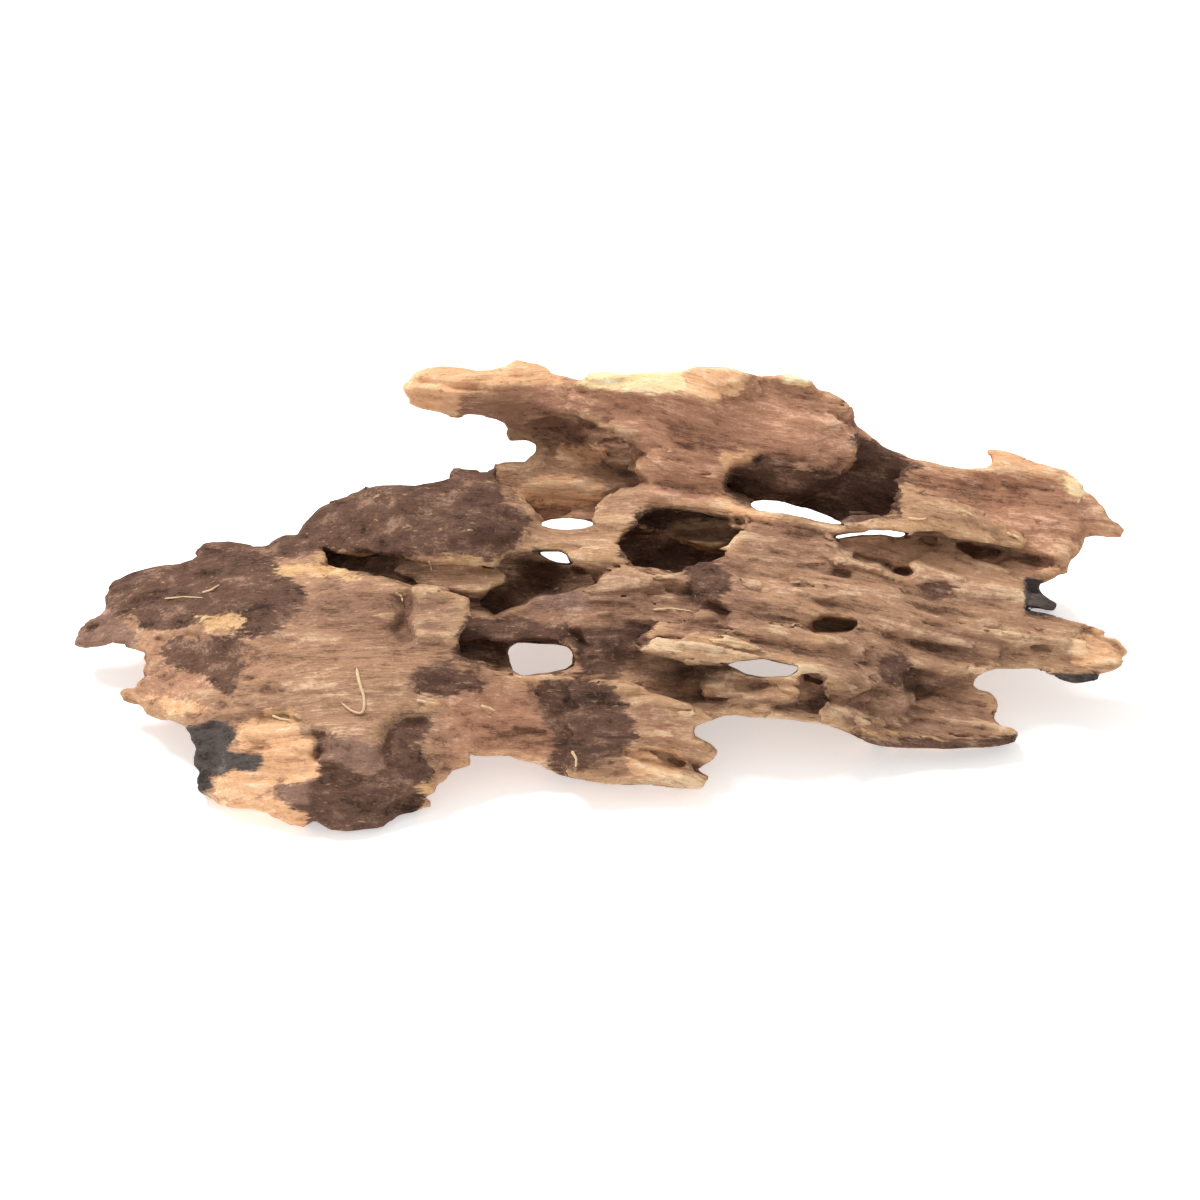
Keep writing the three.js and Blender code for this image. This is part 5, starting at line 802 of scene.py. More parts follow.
ALONG, ACROSS, DEPTHS = (ruler(*r) for r in zip((PLANE_WIDTH, PLANE_SPAN, DEPTH_RANGE), FINE_STEP))
FLAT_P, FLAT_Q = np.meshgrid(ALONG, ACROSS, indexing="ij")
EDGE = outline_distance(SILHOUETTE, FLAT_P, FLAT_Q)
OPEN = np.minimum.reduce([outline_distance(h, FLAT_P, FLAT_Q) for h in HOLES])


def flat_map(outline, reach):
    """An outline's distance on the plane's grid, worked out only in the box round it and far elsewhere."""
    low, high = np.min(outline, 0) - reach, np.max(outline, 0) + reach
    a, b = np.searchsorted(ALONG, (low[0], high[0]))
    c, d = np.searchsorted(ACROSS, (low[1], high[1]))
    flat = np.full(FLAT_P.shape, 99.0)
    flat[a:b, c:d] = outline_distance(outline, FLAT_P[a:b, c:d], FLAT_Q[a:b, c:d])
    return flat


def layer_maps(name, layer):
    """A layer's faces as maps: its rim's distance, the front and back depth and how steep the front is."""
    rim = np.maximum(flat_map(layer["outline"], STEP_MARGIN), EDGE)
    front = sheet_through(layer["posts"], FLAT_P, FLAT_Q)
    slope_p, slope_q = np.gradient(front, FINE_STEP[0], FINE_STEP[1])
    inward = smooth_step(-rim / TAPER)
    back = front - layer["rim"] - (layer["thick"] - layer["rim"]) * inward
    for outline, rise, soft in STEPS.get(name, []):
        front = front + rise * smooth_step(0.5 - flat_map(outline, STEP_MARGIN) / (2 * soft))
    steep = 1 / np.sqrt(1 + slope_p ** 2 + slope_q ** 2)
    return [a.astype(np.float32) for a in (rim, front, back, steep, inward)]


LAYER_MAPS = {name: layer_maps(name, layer) for name, layer in LAYERS.items()}
ROUGH = np.minimum.reduce([flat_map(o, ROUGH_MARGIN) for o in MARKS["dusk_and_shade"] + MARKS["soot_and_shade"]])
ROUGH = smooth_step(0.5 - ROUGH / ROUGH_MARGIN).astype(np.float32)


def on_map(flat, p, q):
    """A map's values at its grid points nearest to these places on the plane."""
    at_p = np.clip(np.rint((p - ALONG[0]) / FINE_STEP[0]).astype(int), 0, len(ALONG) - 1)
    at_q = np.clip(np.rint((q - ACROSS[0]) / FINE_STEP[1]).astype(int), 0, len(ACROSS) - 1)
    return flat[at_p, at_q]


def grain_place(x, y, z):
    """A point's place along, across and through the grain, which runs down to the right on the right half
    and sways a little round the lumps."""
    p, q, depth = to_plane(x, y, z)
    sway = 2.5 * noise((x, q, depth), 60, 30, 41) + GRAIN_FALL * np.maximum(x - GRAIN_TURN, 0)
    return p, q + sway, depth


def relief(place, rough):
    """The skin's own fine relief at places given along, across and through the grain: torn flakes as noise
    cut into steps with steep edges, grooves where a noise drawn out along the grain passes zero, and
    crumbs where the wood is rough. The flakes are flattest at the left and on the log."""
    along, across = place[:2]
    level = (noise(place, 26, 4.5, 21) + 0.5 * noise(place, 9, 2, 22)) * FLAKE_COUNT
    whole = np.floor(level)
    flake = whole + smooth_step((level - whole - 0.5) / FLAKE_EDGE + 0.5) - 0.5
    groove = 1 - 2 * np.abs(noise(place, 40, 5, 3))
    fine = 1 - 2 * np.abs(noise(place, 14, 1.6, 4))
    crumb = 0.9 * noise(place, 6, 4, 31) + 0.6 * noise(place, 3, 2, 32)
    torn = (0.5 + 0.55 * smooth_step((along + 25) / 40)) * (1 - 0.3 * smooth_step((across - 22) / 12))
    flake = flake * FLAKE_HEIGHT * torn * (1 - 0.5 * rough)
    return flake + fine * FINE_DEPTH + crumb * rough * LUMPY, groove * GROOVE_DEPTH


def wood_field(i, j, k, with_flakes):
    """How far a grid point is outside the wood: each layer is the larger of its distances in front of its
    face, behind its back and beyond its rim, and layers, roots and knuckles are joined by the smaller.
    Lumps swell the faces, furrows the backs, and ragged noise tears the rims, all in millimetres."""
    p, q, depth = (a[n].astype(np.float32) for a, n in zip((ALONG, ACROSS, DEPTHS), (i, j, k)))
    place = to_space(p, q, depth)
    x, y, z = place
    lump = 1.8 * noise(place, 55, 24, 1) + 0.7 * noise(place, 30, 11, 2)
    furrow = 1.3 * lump + 3 * noise(place, 70, 13, 5)
    ragged = TORN * noise(place, 9, 1.7, 11) if with_flakes else 0 * x
    field = np.full(p.shape, 9, np.float32)
    for name, layer in LAYERS.items():
        maps = LAYER_MAPS[name]
        here = np.nonzero(maps[0][i, j] < LAYER_MARGIN)[0]
        rim, front, back, steep, inward = (m[i[here], j[here]] for m in maps)
        rough = 0.3 + 0.7 * inward
        above = (depth[here] - front) * steep + lump[here] * rough
        below = (back - depth[here]) * steep - furrow[here] * rough
        torn = rim + ragged[here]
        shell = smooth_max(smooth_max(above, torn, layer["round"]), below, layer["back"])
        field[here] = smooth_min(field[here], shell, LAYER_JOIN)
    roots = None
    for limb in ROOTS:
        far = limb_distance(*limb, place)
        roots = far if roots is None else smooth_min(roots, far, ROOT_MEET)
    field = smooth_min(field, roots + 1.6 * lump, ROOT_JOIN)
    for limb in KNUCKLES:
        field = smooth_min(field, limb_distance(*limb, place) + lump, KNUCKLE_JOIN)
    for centre, radii in HOLLOWS:
        out = np.sqrt(sum(((a - c) / r) ** 2 for a, c, r in zip(place, centre, radii)))
        field = smooth_max(field, (1 - out) * min(radii) - lump, KNUCKLE_JOIN)
    ground = GROUND_LIFT + GROUND_SWELL * noise((x, y, 0 * z), 34, 15, 9)
    for (a, b), radius in FEET:
        ground = ground - FOOT_DROP * np.exp(-((x - a) ** 2 + (y - b) ** 2) / radius ** 2)
    field = smooth_max(field, ground - z, GROUND_SOFT)
    small, groove = relief(grain_place(*place), ROUGH[i, j])
    field = field + groove + (small if with_flakes else 0)
    edge = EDGE[i, j] - 0.2 + 0.5 * ragged
    return np.maximum(np.maximum(field, -OPEN[i, j] - 0.3 * ragged), np.maximum(edge, -z))


def near_skin_field():
    """The field on the whole grid: worked out on every third point, spread to its neighbours, and worked
    out again at each point that lies near the skin."""
    shape = (len(ALONG), len(ACROSS), len(DEPTHS))
    picks = [np.arange(COARSE_EVERY // 2, n, COARSE_EVERY) for n in shape]
    coarse = wood_field(*(a.ravel() for a in np.meshgrid(*picks, indexing="ij")), False)
    coarse = coarse.reshape([len(a) for a in picks])
    spread = [np.minimum(np.arange(n) // COARSE_EVERY, len(a) - 1) for n, a in zip(shape, picks)]
    field = coarse[np.ix_(*spread)].astype(np.float32)
    near = np.nonzero(np.abs(field) < NEAR_SKIN)
    field[near] = wood_field(*near, True)
    return field


def skin_of(field):
    """The field's closed skin at zero: in every box of the grid that it crosses, one vertex at the mean of
    the crossings on the box's edges, and one four-sided face for every grid edge that it crosses."""
    full = field < 0
    size = np.array(field.shape)
    count = sum(full[a:size[0] - 1 + a, b:size[1] - 1 + b, c:size[2] - 1 + c].astype(np.int8)
                for a, b, c in CUBE)
    box = np.nonzero((count > 0) & (count < 8))
    number = np.full(count.shape, -1, np.int64)
    number[box] = np.arange(len(box[0]))
    total = np.zeros((len(box[0]), 3))
    crossings = np.zeros(len(box[0]))
    for corner in CUBE:
        for axis in range(3):
            if corner[axis] == 0:
                other = [c + (n == axis) for n, c in enumerate(corner)]
                here = field[tuple(b + c for b, c in zip(box, corner))].astype(float)
                there = field[tuple(b + c for b, c in zip(box, other))].astype(float)
                crossed = (here < 0) != (there < 0)
                t = np.where(crossed, here / np.where(crossed, here - there, 1), 0)
                place = np.tile(np.array(corner, float), (len(t), 1))
                place[:, axis] = t
                total += np.where(crossed[:, None], place, 0)
                crossings += crossed
    grid_place = np.stack(box, 1) + total / crossings[:, None]
    start = np.array([ALONG[0], ACROSS[0], DEPTHS[0]])
    vertices = np.stack(to_space(*(grid_place * FINE_STEP + start).T), 1)
    faces = []
    for axis in range(3):
        one, two = [n for n in range(3) if n != axis]
        low = [slice(0, -1) if n == axis else slice(None) for n in range(3)]
        high = [slice(1, None) if n == axis else slice(None) for n in range(3)]
        edge = np.stack(np.nonzero(full[tuple(low)] != full[tuple(high)]), 1)
        edge = edge[(edge[:, [one, two]] > 0).all(1)]
        edge = edge[(edge[:, one] < size[one] - 1) & (edge[:, two] < size[two] - 1)]
        ring = []
        for a, b in ((0, 0), (1, 0), (1, 1), (0, 1)):
            at = edge.copy()
            at[:, one] -= a
            at[:, two] -= b
            ring.append(number[tuple(at.T)])
        ring = np.stack(ring, 1)
        turn = full[tuple(edge.T)] != (axis == 1)
        ring[~turn] = ring[~turn][:, ::-1]
        faces.append(ring)
    return vertices, np.concatenate(faces)


def largest_body(vertices, faces):
    """The biggest connected skin: every vertex takes the lowest number that its edges lead to, over and
    over, and the number that most faces share is kept."""
    label = np.arange(len(vertices))
    ends = np.concatenate([faces[:, [n, (n + 1) % 4]] for n in range(4)])
    while True:
        lowest = np.minimum(label[ends[:, 0]], label[ends[:, 1]])
        fresh = label.copy()
        np.minimum.at(fresh, label[ends[:, 0]], lowest)
        np.minimum.at(fresh, label[ends[:, 1]], lowest)
        fresh = fresh[fresh]
        if (fresh == label).all():
            break
        label = fresh
    owner = label[faces[:, 0]]
    faces = faces[owner == np.bincount(owner).argmax()]
    used, faces = np.unique(faces, return_inverse=True)
    return vertices[used], faces.reshape(-1, 4)


def new_mesh(name, vertices, faces):
    """A mesh of faces that all have as many corners."""
    mesh = bpy.data.meshes.new(name)
    corners = faces.shape[1]
    mesh.vertices.add(len(vertices))
    mesh.vertices.foreach_set("co", vertices.astype(np.float32).ravel())
    mesh.loops.add(faces.size)
    mesh.loops.foreach_set("vertex_index", faces.astype(np.int32).ravel())
    mesh.polygons.add(len(faces))
    mesh.polygons.foreach_set("loop_start", np.arange(0, faces.size, corners, dtype=np.int32))
    mesh.polygons.foreach_set("loop_total", np.full(len(faces), corners, np.int32))
    mesh.update(calc_edges=True)
    return mesh


def new_object(name, data):
    """An object in the scene that shows a mesh, a lamp or a camera."""
    thing = bpy.data.objects.new(name, data)
    bpy.context.scene.collection.objects.link(thing)
    return thing


def places(mesh):
    """Where a mesh's vertices are."""
    found = np.empty(len(mesh.vertices) * 3, np.float32)
    mesh.vertices.foreach_get("co", found)
    return found.reshape(-1, 3).astype(float)


def thinned(mesh, most):
    """The mesh with its least needed edges closed up until it has no more than so many triangles."""
    triangles = 2 * len(mesh.polygons)
    holder = new_object("thinning", mesh)
    thin = holder.modifiers.new("thin", "DECIMATE")
    thin.ratio = min(1, most / triangles)
    graph = bpy.context.evaluated_depsgraph_get()
    result = bpy.data.meshes.new_from_object(holder.evaluated_get(graph))
    bpy.data.objects.remove(holder)
    bpy.data.meshes.remove(mesh)
    return result


def sampled(grid, steps, start, p, q, depth):
    """A value of the grid between its points, blended in all three directions."""
    place = [(a - s) / t for a, s, t in zip((p, q, depth), start, steps)]
    place = [np.clip(a, 0, n - 1.001) for a, n in zip(place, grid.shape)]
    low = [a.astype(int) for a in place]
    part = [a - b for a, b in zip(place, low)]
    total = 0
    for corner in CUBE:
        weight = 1
        for a, t in zip(corner, part):
            weight = weight * (t if a else 1 - t)
        total = total + weight * grid[tuple(n + a for n, a in zip(low, corner))]
    return total


def box_blur(grid, reach):
    """The mean over a box of reach cells each way, from running sums, three times over for a round blur."""
    for _ in range(3):
        for axis, n in enumerate(reach):
            padded = np.pad(grid, [(n + 1, n) if a == axis else (0, 0) for a in range(3)], mode="edge")
            sums = np.cumsum(padded, axis, dtype=np.float64)
            size = grid.shape[axis]
            high = np.take(sums, np.arange(2 * n + 1, 2 * n + 1 + size), axis)
            low = np.take(sums, np.arange(size), axis)
            grid = ((high - low) / (2 * n + 1)).astype(np.float32)
    return grid


def add_values(mesh, name, values):
    """Stores one value for each vertex, which the material reads by its name."""
    layer = mesh.attributes.new(name, "FLOAT", "POINT")
    layer.data.foreach_set("value", np.asarray(values, np.float32).ravel())


field = near_skin_field()
skin, skin_faces = largest_body(*skin_of(field))
skin[:, 2] = np.where(skin[:, 2] < FOOT_SNAP, 0, skin[:, 2])
wood_mesh = thinned(new_mesh("driftwood_wood", skin, skin_faces), MOST_TRIANGLES)
skin = places(wood_mesh)
skin_p, skin_q, skin_depth = to_plane(*skin.T)

# How deep a place lies in a hollow: the share of wood round it, over a wide and a narrow reach. The
# material uses these to paint shade into deep hollows and creases.
coarse_field = field[::COARSE_EVERY, ::COARSE_EVERY, ::COARSE_EVERY]
filled = np.clip(0.5 - coarse_field / HOLLOW_SOFT, 0, 1)
coarse_step = [s * COARSE_EVERY for s in FINE_STEP]
grid_start = (ALONG[0], ACROSS[0], DEPTHS[0])
for name, reach_mm in HOLLOW_REACH.items():
    share = box_blur(filled, [max(1, round(reach_mm / s)) for s in coarse_step])
    add_values(wood_mesh, name, sampled(share, coarse_step, grid_start, skin_p, skin_q, skin_depth))
grain = grain_place(*skin.astype(np.float32).T)
add_values(wood_mesh, "relief", sum(relief(grain, on_map(ROUGH, skin_p, skin_q))))

# Which places are seen from the front: not far behind the first wood met along each line to the eye, or
# along a line close by.
met = field[:, :, ::-1] < 0
FRONT = np.where(met.any(2), DEPTHS[::-1][met.argmax(2)], NO_WOOD)
padded = np.pad(FRONT, SHOWN_SLACK, constant_values=NO_WOOD)
window = range(2 * SHOWN_SLACK + 1)
moved = [padded[a:a + len(ALONG), b:b + len(ACROSS)] for a in window for b in window]
near_front = np.minimum.reduce(moved)
shown = smooth_step((SHOWN_DEPTH - on_map(near_front, skin_p, skin_q) + skin_depth) / SHOWN_FADE)
add_values(wood_mesh, "shown", shown)
grain_layer = wood_mesh.attributes.new("grain", "FLOAT_VECTOR", "POINT")
grain_layer.data.foreach_set("vector", np.stack(grain, 1).astype(np.float32).ravel())
for finish, outlines in MARKS.items():
    near = np.minimum.reduce([outline_distance(o, skin_p, skin_q) for o in outlines])
    near = np.clip(near, -MARK_REACH, MARK_REACH)
    add_values(wood_mesh, finish, near * shown + MARK_REACH * (1 - shown))

# The piece stands where its CAD solid stands, and from here on it is in metres.
low, high = skin.min(0), skin.max(0)
cad_middle = np.array((cad_low + cad_high) / 2) * 1000
shift = cad_middle - (low + high) / 2
shift[2] = 0
skin = (skin + shift) * 0.001
wood_mesh.vertices.foreach_set("co", skin.astype(np.float32).ravel())
wood_mesh.shade_smooth()
wood_mesh.update()
wood = new_object("driftwood_wood", wood_mesh)


def linear(code):
    """The linear colour of an sRGB hex value."""
    parts = [int(code[n:n + 2], 16) / 255 for n in (1, 3, 5)]
    return [c / 12.92 if c <= 0.04045 else ((c + 0.055) / 1.055) ** 2.4 for c in parts] + [1]


def add_node(tree, kind, inputs=None, out=0, **settings):
    """Adds a node, sets it, fills its sockets with values, hex colours or links, and returns an output."""
    node = tree.nodes.new("ShaderNode" + kind)
    for name, value in settings.items():
        setattr(node, name, value)
    for socket, value in (inputs or {}).items():
        if isinstance(value, bpy.types.NodeSocket):
            tree.links.new(value, node.inputs[socket])
        else:
            node.inputs[socket].default_value = linear(value) if isinstance(value, str) else value
    return None if out is None else node.outputs[out]


def empty_material(name):
    """A new material and its empty node tree."""
    material = bpy.data.materials.new(name)
    material.use_nodes = True
    material.node_tree.nodes.clear()
    return material, material.node_tree


def weathered_wood():
    """Old root wood washed in water, so dull and rough: tan where it is bare, streaked along its grain,
    purple-brown where it is old, orange and cream where it has torn. Shade in its hollows, creases and
    grooves and under its edges is painted dark, and on the tops of the log and the arm the orange and cream
    are partly painted highlight."""
    material, tree = empty_material("weathered_driftwood")
    # What the colours follow: the marks and hollows measured on the skin, and the wood's own patterns,
    # drawn out along the grain, with their sizes in millimetres along and across it, their finer detail
    # and its strength. A pattern runs from about -0.5 to 0.5.
    values = {}
    for name in ("relief", "shown", "hollow", "edge", *MARKS):
        values[name] = add_node(tree, "Attribute", out="Fac", attribute_name=name)
    place = add_node(tree, "Attribute", out="Vector", attribute_name="grain")
    for name, along, across, detail, strength in (
        ("streak", 11, 1.2, 5, 0.68),
        ("hair", 5, 0.5, 4, 0.7),
        ("mottle", 5, 2.2, 6, 0.76),
        ("band", 60, 9, 4, 0.62),
        ("grit", 1.0, 0.8, 4, 0.75),
        ("blotch", 13, 7, 5, 0.66),
        ("wide_push", 24, 9, 4, 0.62),
        ("fine_push", 6, 1.4, 5, 0.68),
        ("pinkness", 130, 45, 2, 0.5),
        ("age", 40, 14, 5, 0.62),
        ("tear", 24, 4, 5, 0.62),
        ("stain", 26, 8, 5, 0.62),
        ("pore", 4, 0.9, 4, 0.66),
        ("fibre", 5, 1.1, 4, 0.66),
    ):
        moved = add_node(tree, "Mapping", {"Vector": place, "Location": (7.3 * len(values),) * 3,
                         "Scale": (1 / along, 1 / across, 1 / across)})
        found = add_node(tree, "TexNoise", {"Vector": moved, "Scale": 1.0, "Detail": detail,
                         "Roughness": strength})
        values[name] = add_node(tree, "Math", {0: found, 1: 0.5}, operation="SUBTRACT")

    def weighed(weights):
        """The sum of some values, each times its weight."""
        total = 0.0
        for part, weight in weights.items():
            total = add_node(tree, "Math", {0: values[part], 1: weight, 2: total}, operation="MULTIPLY_ADD")
        return total

    # Bare wood is streaked, old and dirty wood is blotched, and the fine skin is ridged.
    for name, parts in (
        ("streaked", {"streak": 0.8, "hair": 0.7, "mottle": 1.1, "band": 1.0, "grit": 0.5,
                      "relief": -0.12}),
        ("blotched", {"blotch": 1.6, "mottle": 0.8, "grit": 0.7, "hair": 0.4}),
        ("ridged", {"hair": 0.4, "streak": 0.9, "grit": 0.4, "mottle": 0.9}),
    ):
        values[name] = weighed(parts)

    def laid_over(under, colour, start, full, most=1.0, **weights):
        """Lays a colour over another where the weighted sum of some values runs from start to full."""
        share = add_node(tree, "MapRange", {"Value": weighed(weights), "From Min": start, "From Max": full,
                         "To Max": most}, interpolation_type="SMOOTHSTEP")
        return add_node(tree, "Mix", {0: share, 6: under, 7: colour}, out=2, data_type="RGBA")

    # The soot, dusk, brown and char palettes are also laid on as painted shade, and the fresh and cream
    # palettes partly as painted highlight.
    woods = {}
    for name, pattern, dark, middle, pale in (
        ("tan", "streaked", "#7a5b46", "#b3896b", "#dfbb99"),
        ("pink", "streaked", "#805746", "#bd8a6d", "#ebb99b"),
        ("brown_and_shade", "streaked", "#5c3f30", "#916c57", "#bb9377"),
        ("fresh", "streaked", "#b98762", "#efb88b", "#ffe0b8"),
        ("straw", "streaked", "#b5824f", "#e2b684", "#f8ddb2"),
        ("cream_and_highlight", "streaked", "#e0b17c", "#ffe0ab", "#fff6d4"),
        ("dusk_and_shade", "blotched", "#38261d", "#694c3e", "#a17f69"),
        ("mauve", "blotched", "#674b3f", "#937160", "#bf9f8a"),
        ("soot_and_shade", "blotched", "#22140e", "#573c2c", "#8c6c59"),
        ("char_and_shade", "blotched", "#322b29", "#564c48", "#7c7069"),
    ):
        woods[name] = laid_over(middle, dark, 0.0, -0.38, **{pattern: 1})
        woods[name] = laid_over(woods[name], pale, 0.02, 0.4, **{pattern: 1})
    colour = laid_over(woods["tan"], woods["pink"], 0.0, 0.16, 0.5, pinkness=1)
    stained = laid_over(colour, woods["brown_and_shade"], 0.06, 0.2, 0.7, stain=1)
    # Where the front doesn't show, old and torn wood lie as they come.
    hidden = laid_over(colour, woods["dusk_and_shade"], 0.02, 0.1, age=1)
    hidden = laid_over(hidden, woods["fresh"], 0.16, 0.2, tear=1)
    colour = laid_over(hidden, stained, 0, 1, shown=1)

    def marked(under, *rows):
        """Lays marks on: each one's name, how far its edge is pushed about along the grain by the wide and
        by the fine noise and how soft it is, in millimetres, and its strength."""
        for name, wide, fine, soft, most in rows:
            under = laid_over(under, woods[name], soft, -soft, most, wide_push=wide, fine_push=fine,
                              **{name: 1})
        return under

    # Pink and brown marks go on, the brown ones partly painted shade under the arm and in notches. Then
    # worn edges are paler, but not where the wood is old and dark.
    colour = marked(colour, ("pink", 9, 9, 4.0, 0.9), ("brown_and_shade", 9, 9, 2.6, 0.75))
    colour = laid_over(colour, woods["straw"], 0.56, 0.38, 0.3, edge=1, hollow=0.3)
    # Dusk marks are old wood, and painted shade in and under the log's hollow and under the plank's edge.
    colour = marked(colour, ("dusk_and_shade", 10, 9, 1.0, 1.0), ("mauve", 7, 6, 1.4, 1.0))
    # Painted shade: deep in the hollows the colour goes toward soot.
    colour = laid_over(colour, woods["soot_and_shade"], 0.64, 0.92, 0.45, hollow=1)
    # Soot marks are painted shade in hollows, gaps and notches; fresh and cream on the tops of the log and
    # arm are partly painted highlight.
    colour = marked(colour, ("tan", 7, 9, 1.2, 0.9), ("fresh", 5, 9, 0.8, 1.0), ("soot_and_shade", 6, 6, 2.0, 0.75),
                    ("straw", 3, 8, 0.8, 0.85), ("cream_and_highlight", 3, 8, 0.7, 0.95))
    # Creases and the deep grooves of the fine relief are darkened as painted shade, pores are darker, thin
    # loose fibres catch the light, and char covers all of these.
    colour = laid_over(colour, woods["soot_and_shade"], 0.56, 0.70, 0.5, edge=1)
    colour = laid_over(colour, woods["soot_and_shade"], 0.35, 1.2, 0.42, relief=1)
    colour = laid_over(colour, woods["soot_and_shade"], 0.13, 0.18, 0.5, pore=1)
    colour = laid_over(colour, woods["straw"], 0.13, 0.18, 0.4, fibre=1)
    colour = marked(colour, ("char_and_shade", 2, 5, 0.6, 1.0))
    bump = add_node(tree, "Bump", {"Height": values["ridged"], "Strength": 0.8, "Distance": 0.001},
                    out="Normal")
    surface = add_node(tree, "BsdfPrincipled", {"Base Color": colour, "Normal": bump, "Roughness": 0.92,
                       "Specular IOR Level": 0.25})
    add_node(tree, "OutputMaterial", {"Surface": surface}, out=None)
    return material


wood_mesh.materials.clear()
wood_mesh.materials.append(weathered_wood())
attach(wood, "root")
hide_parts("driftwood")

# Loose fibres. A thin dry root thread that lies hooked on the slab, and a few torn splinters that cling to
# the wood. Pale stringy root wood; they only lie there, CLEAR of the skin's own crumbs. Millimetres: each
# has its places on the leaning plane and its radius, and how far its end stands off the wood.
FIBRES = (
    ([(-74.3, -20.6), (-73.3, -25.7), (-71.7, -29.9), (-72.1, -35), (-76, -33.9), (-79.1, -31.1)], 0.55, 0),
    ([(-121.4, 2.2), (-118.6, 3.1), (-116, 4.7)], 0.4, 0.6),
    ([(-133, 0.4), (-127, 1.0), (-121, 0.7)], 0.3, 0),
    ([(-52.2, 11.8), (-51.6, 10.4), (-51.4, 9)], 0.35, 1.5),
    ([(-100, -35.2), (-97.4, -36.3), (-94.6, -36.6)], 0.45, 0.3),
    ([(-62.4, 2.2), (-60.6, 1.2), (-60.2, -0.4)], 0.4, 0.8),
    ([(-36.4, -32.2), (-34, -32.7), (-32, -33.8)], 0.5, 0.4),
    ([(-56, -30.6), (-53, -31), (-50, -31.6)], 0.5, 0.5),
    ([(-8.6, -46), (-7.2, -48.4), (-7.4, -51)], 0.5, 0.5),
    ([(109, 27.6), (112, 26.8), (114, 25.6)], 0.5, 0.4),
    ([(94, 25), (97, 24.6), (99.6, 24.9)], 0.45, 0.4),
    ([(124, 20.6), (127, 19.4), (129, 18)], 0.5, 0.6),
    ([(33, -12.2), (40, -12.4), (46, -13.6)], 0.4, 0.3),
    ([(16, -3), (22, -2.6), (28, -3.4)], 0.35, 0.2),
)
RING = 7
STATIONS = 25
CLEAR = 0.3


def fibre(path, radius, lift):
    """A tapered thread: its path is bent smoothly through its places, laid on the front of the wood, and
    ringed, with the rings drawn in to nothing at both ends."""
    path = np.array(path, float)
    span = np.linspace(0, len(path) - 1, STATIONS)
    path = np.stack([np.interp(span, np.arange(len(path)), path[:, n]) for n in (0, 1)], 1)
    for _ in range(3):
        path[1:-1] = (path[:-2] + path[1:-1] + path[2:]) / 3
    along = np.linspace(0, 1, STATIONS)
    p, q = path.T
    depth = on_map(FRONT, p, q)
    depth = np.interp(along, along[::4], depth[::4]) + 0.9 * radius + CLEAR + lift * along ** 2
    middle = np.stack(to_space(p, q, depth), 1)
    ahead = np.gradient(middle, axis=0)
    ahead /= np.linalg.norm(ahead, axis=1, keepdims=True)
    side = np.cross(ahead, (0, -OUT, UP))
    side /= np.linalg.norm(side, axis=1, keepdims=True)
    over = np.cross(side, ahead)
    thick = radius * (0.03 + np.minimum(1, 4 * np.sqrt(np.minimum(along, 1 - along))) * (1 - 0.5 * along))
    turn = np.linspace(0, 2 * math.pi, RING, endpoint=False)
    ring = side[:, None] * np.cos(turn)[None, :, None] + 0.7 * over[:, None] * np.sin(turn)[None, :, None]
    return middle[:, None] + ring * thick[:, None, None]


def pale_root_fibre():
    """Dry inner root fibre, dull and pale: straw-coloured, with fine darker strands along it."""
    material, tree = empty_material("pale_root_fibre")
    place = add_node(tree, "TexCoord", out="Object")
    strands = add_node(tree, "TexNoise", {"Vector": place, "Scale": 1500.0, "Detail": 4.0,
                       "Roughness": 0.7})
    colour = add_node(tree, "Mix", {0: strands, 6: "#a77c55", 7: "#ffe3bd"}, out=2, data_type="RGBA")
    bump = add_node(tree, "Bump", {"Height": strands, "Strength": 0.5, "Distance": 0.0003}, out="Normal")
    surface = add_node(tree, "BsdfPrincipled", {"Base Color": colour, "Normal": bump, "Roughness": 0.85,
                       "Specular IOR Level": 0.3})
    add_node(tree, "OutputMaterial", {"Surface": surface}, out=None)
    return material


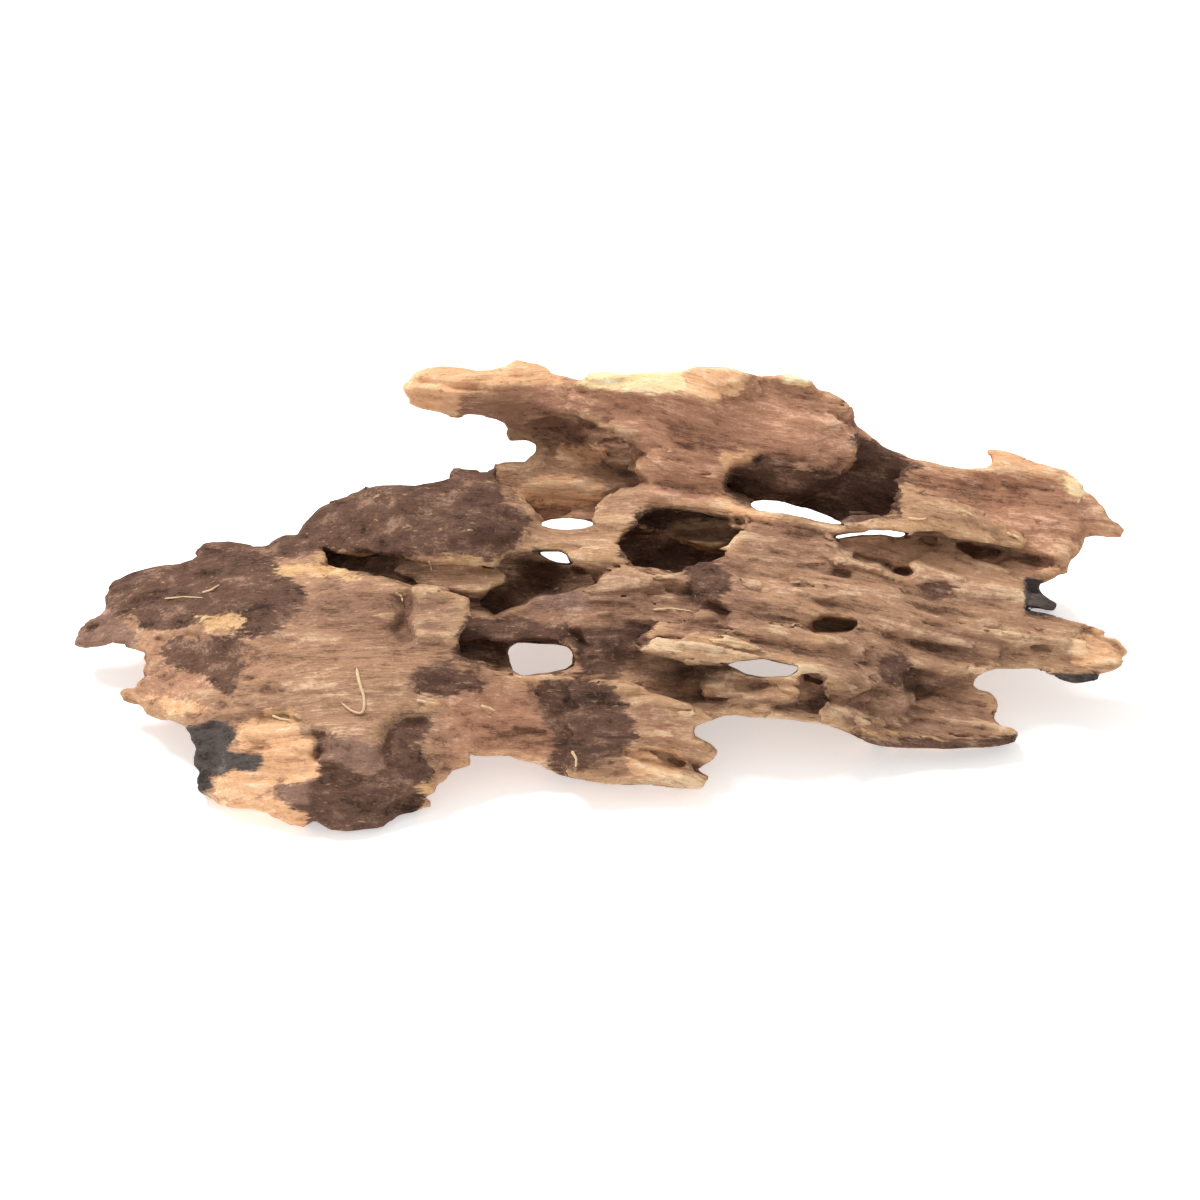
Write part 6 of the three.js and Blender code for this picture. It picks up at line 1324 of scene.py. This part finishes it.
rings = np.stack([fibre(*values) for values in FIBRES])
corner = np.arange(rings.shape[0] * STATIONS * RING).reshape(-1, STATIONS, RING)
here, there = corner[:, :-1], corner[:, 1:]
sides = np.stack([here, there, np.roll(there, -1, 2), np.roll(here, -1, 2)], -1).reshape(-1, 4)
fibre_mesh = new_mesh("loose_fibres", (rings.reshape(-1, 3) + shift) * 0.001, sides)
fibre_mesh.shade_smooth()
fibre_mesh.materials.append(pale_root_fibre())
fibres = new_object("loose_fibres", fibre_mesh)
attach(fibres, "root")

# The floor is a plain pale sheet under the wood.
FLOOR_SIZE = 6.0
floor_corners = np.array([(-1, -1, 0), (1, -1, 0), (1, 1, 0), (-1, 1, 0)]) * FLOOR_SIZE / 2
floor_mesh = new_mesh("floor", floor_corners, np.array([(0, 1, 2, 3)]))
floor_paint = bpy.data.materials.new("pale_matt_paper")
floor_paint.use_nodes = True
paper = floor_paint.node_tree.nodes["Principled BSDF"]
paper.inputs["Base Color"].default_value = linear("#f4f2ef")
paper.inputs["Roughness"].default_value = 0.9
paper.inputs["Emission Color"].default_value = linear("#ffffff")
paper.inputs["Emission Strength"].default_value = 0.45
floor_mesh.materials.append(floor_paint)
floor = new_object("floor", floor_mesh)

# The light: a soft sky all round and a broad soft lamp above, behind and to the left.
world = bpy.data.worlds.new("soft_white")
bpy.context.scene.world = world
world.use_nodes = True
sky = world.node_tree.nodes["Background"]
sky.inputs["Color"].default_value = linear("#ffffff")
sky.inputs["Strength"].default_value = 0.72
lamp_data = bpy.data.lights.new("key", "AREA")
lamp_data.shape = "DISK"
lamp_data.size = 0.7
lamp_data.energy = 30
lamp = new_object("key", lamp_data)
lamp.location = (-0.7, 0.55, 1.5)
lamp_aim = Vector((0, 0, 0.03))
lamp.rotation_euler = (lamp_aim - lamp.location).to_track_quat("-Z", "Y").to_euler()

# The camera looks down at the wood from the front, as the photograph does. FRAME_WIDTH is what it takes
# in at the plane, in millimetres.
FRAME_WIDTH = 366
eye = np.array(to_space(0, 0, EYE_DISTANCE)) + shift
aim = np.array(to_space(0, 0, 0)) + shift
camera_data = bpy.data.cameras.new("camera")
camera_data.sensor_width = 36
camera_data.lens = camera_data.sensor_width * EYE_DISTANCE / FRAME_WIDTH
camera_data.clip_start = 0.05
camera = new_object("camera", camera_data)
camera.location = eye * 0.001
camera.rotation_euler = Vector(aim - eye).to_track_quat("-Z", "Y").to_euler()
bpy.context.scene.camera = camera
bpy.context.scene.view_settings.view_transform = "Standard"
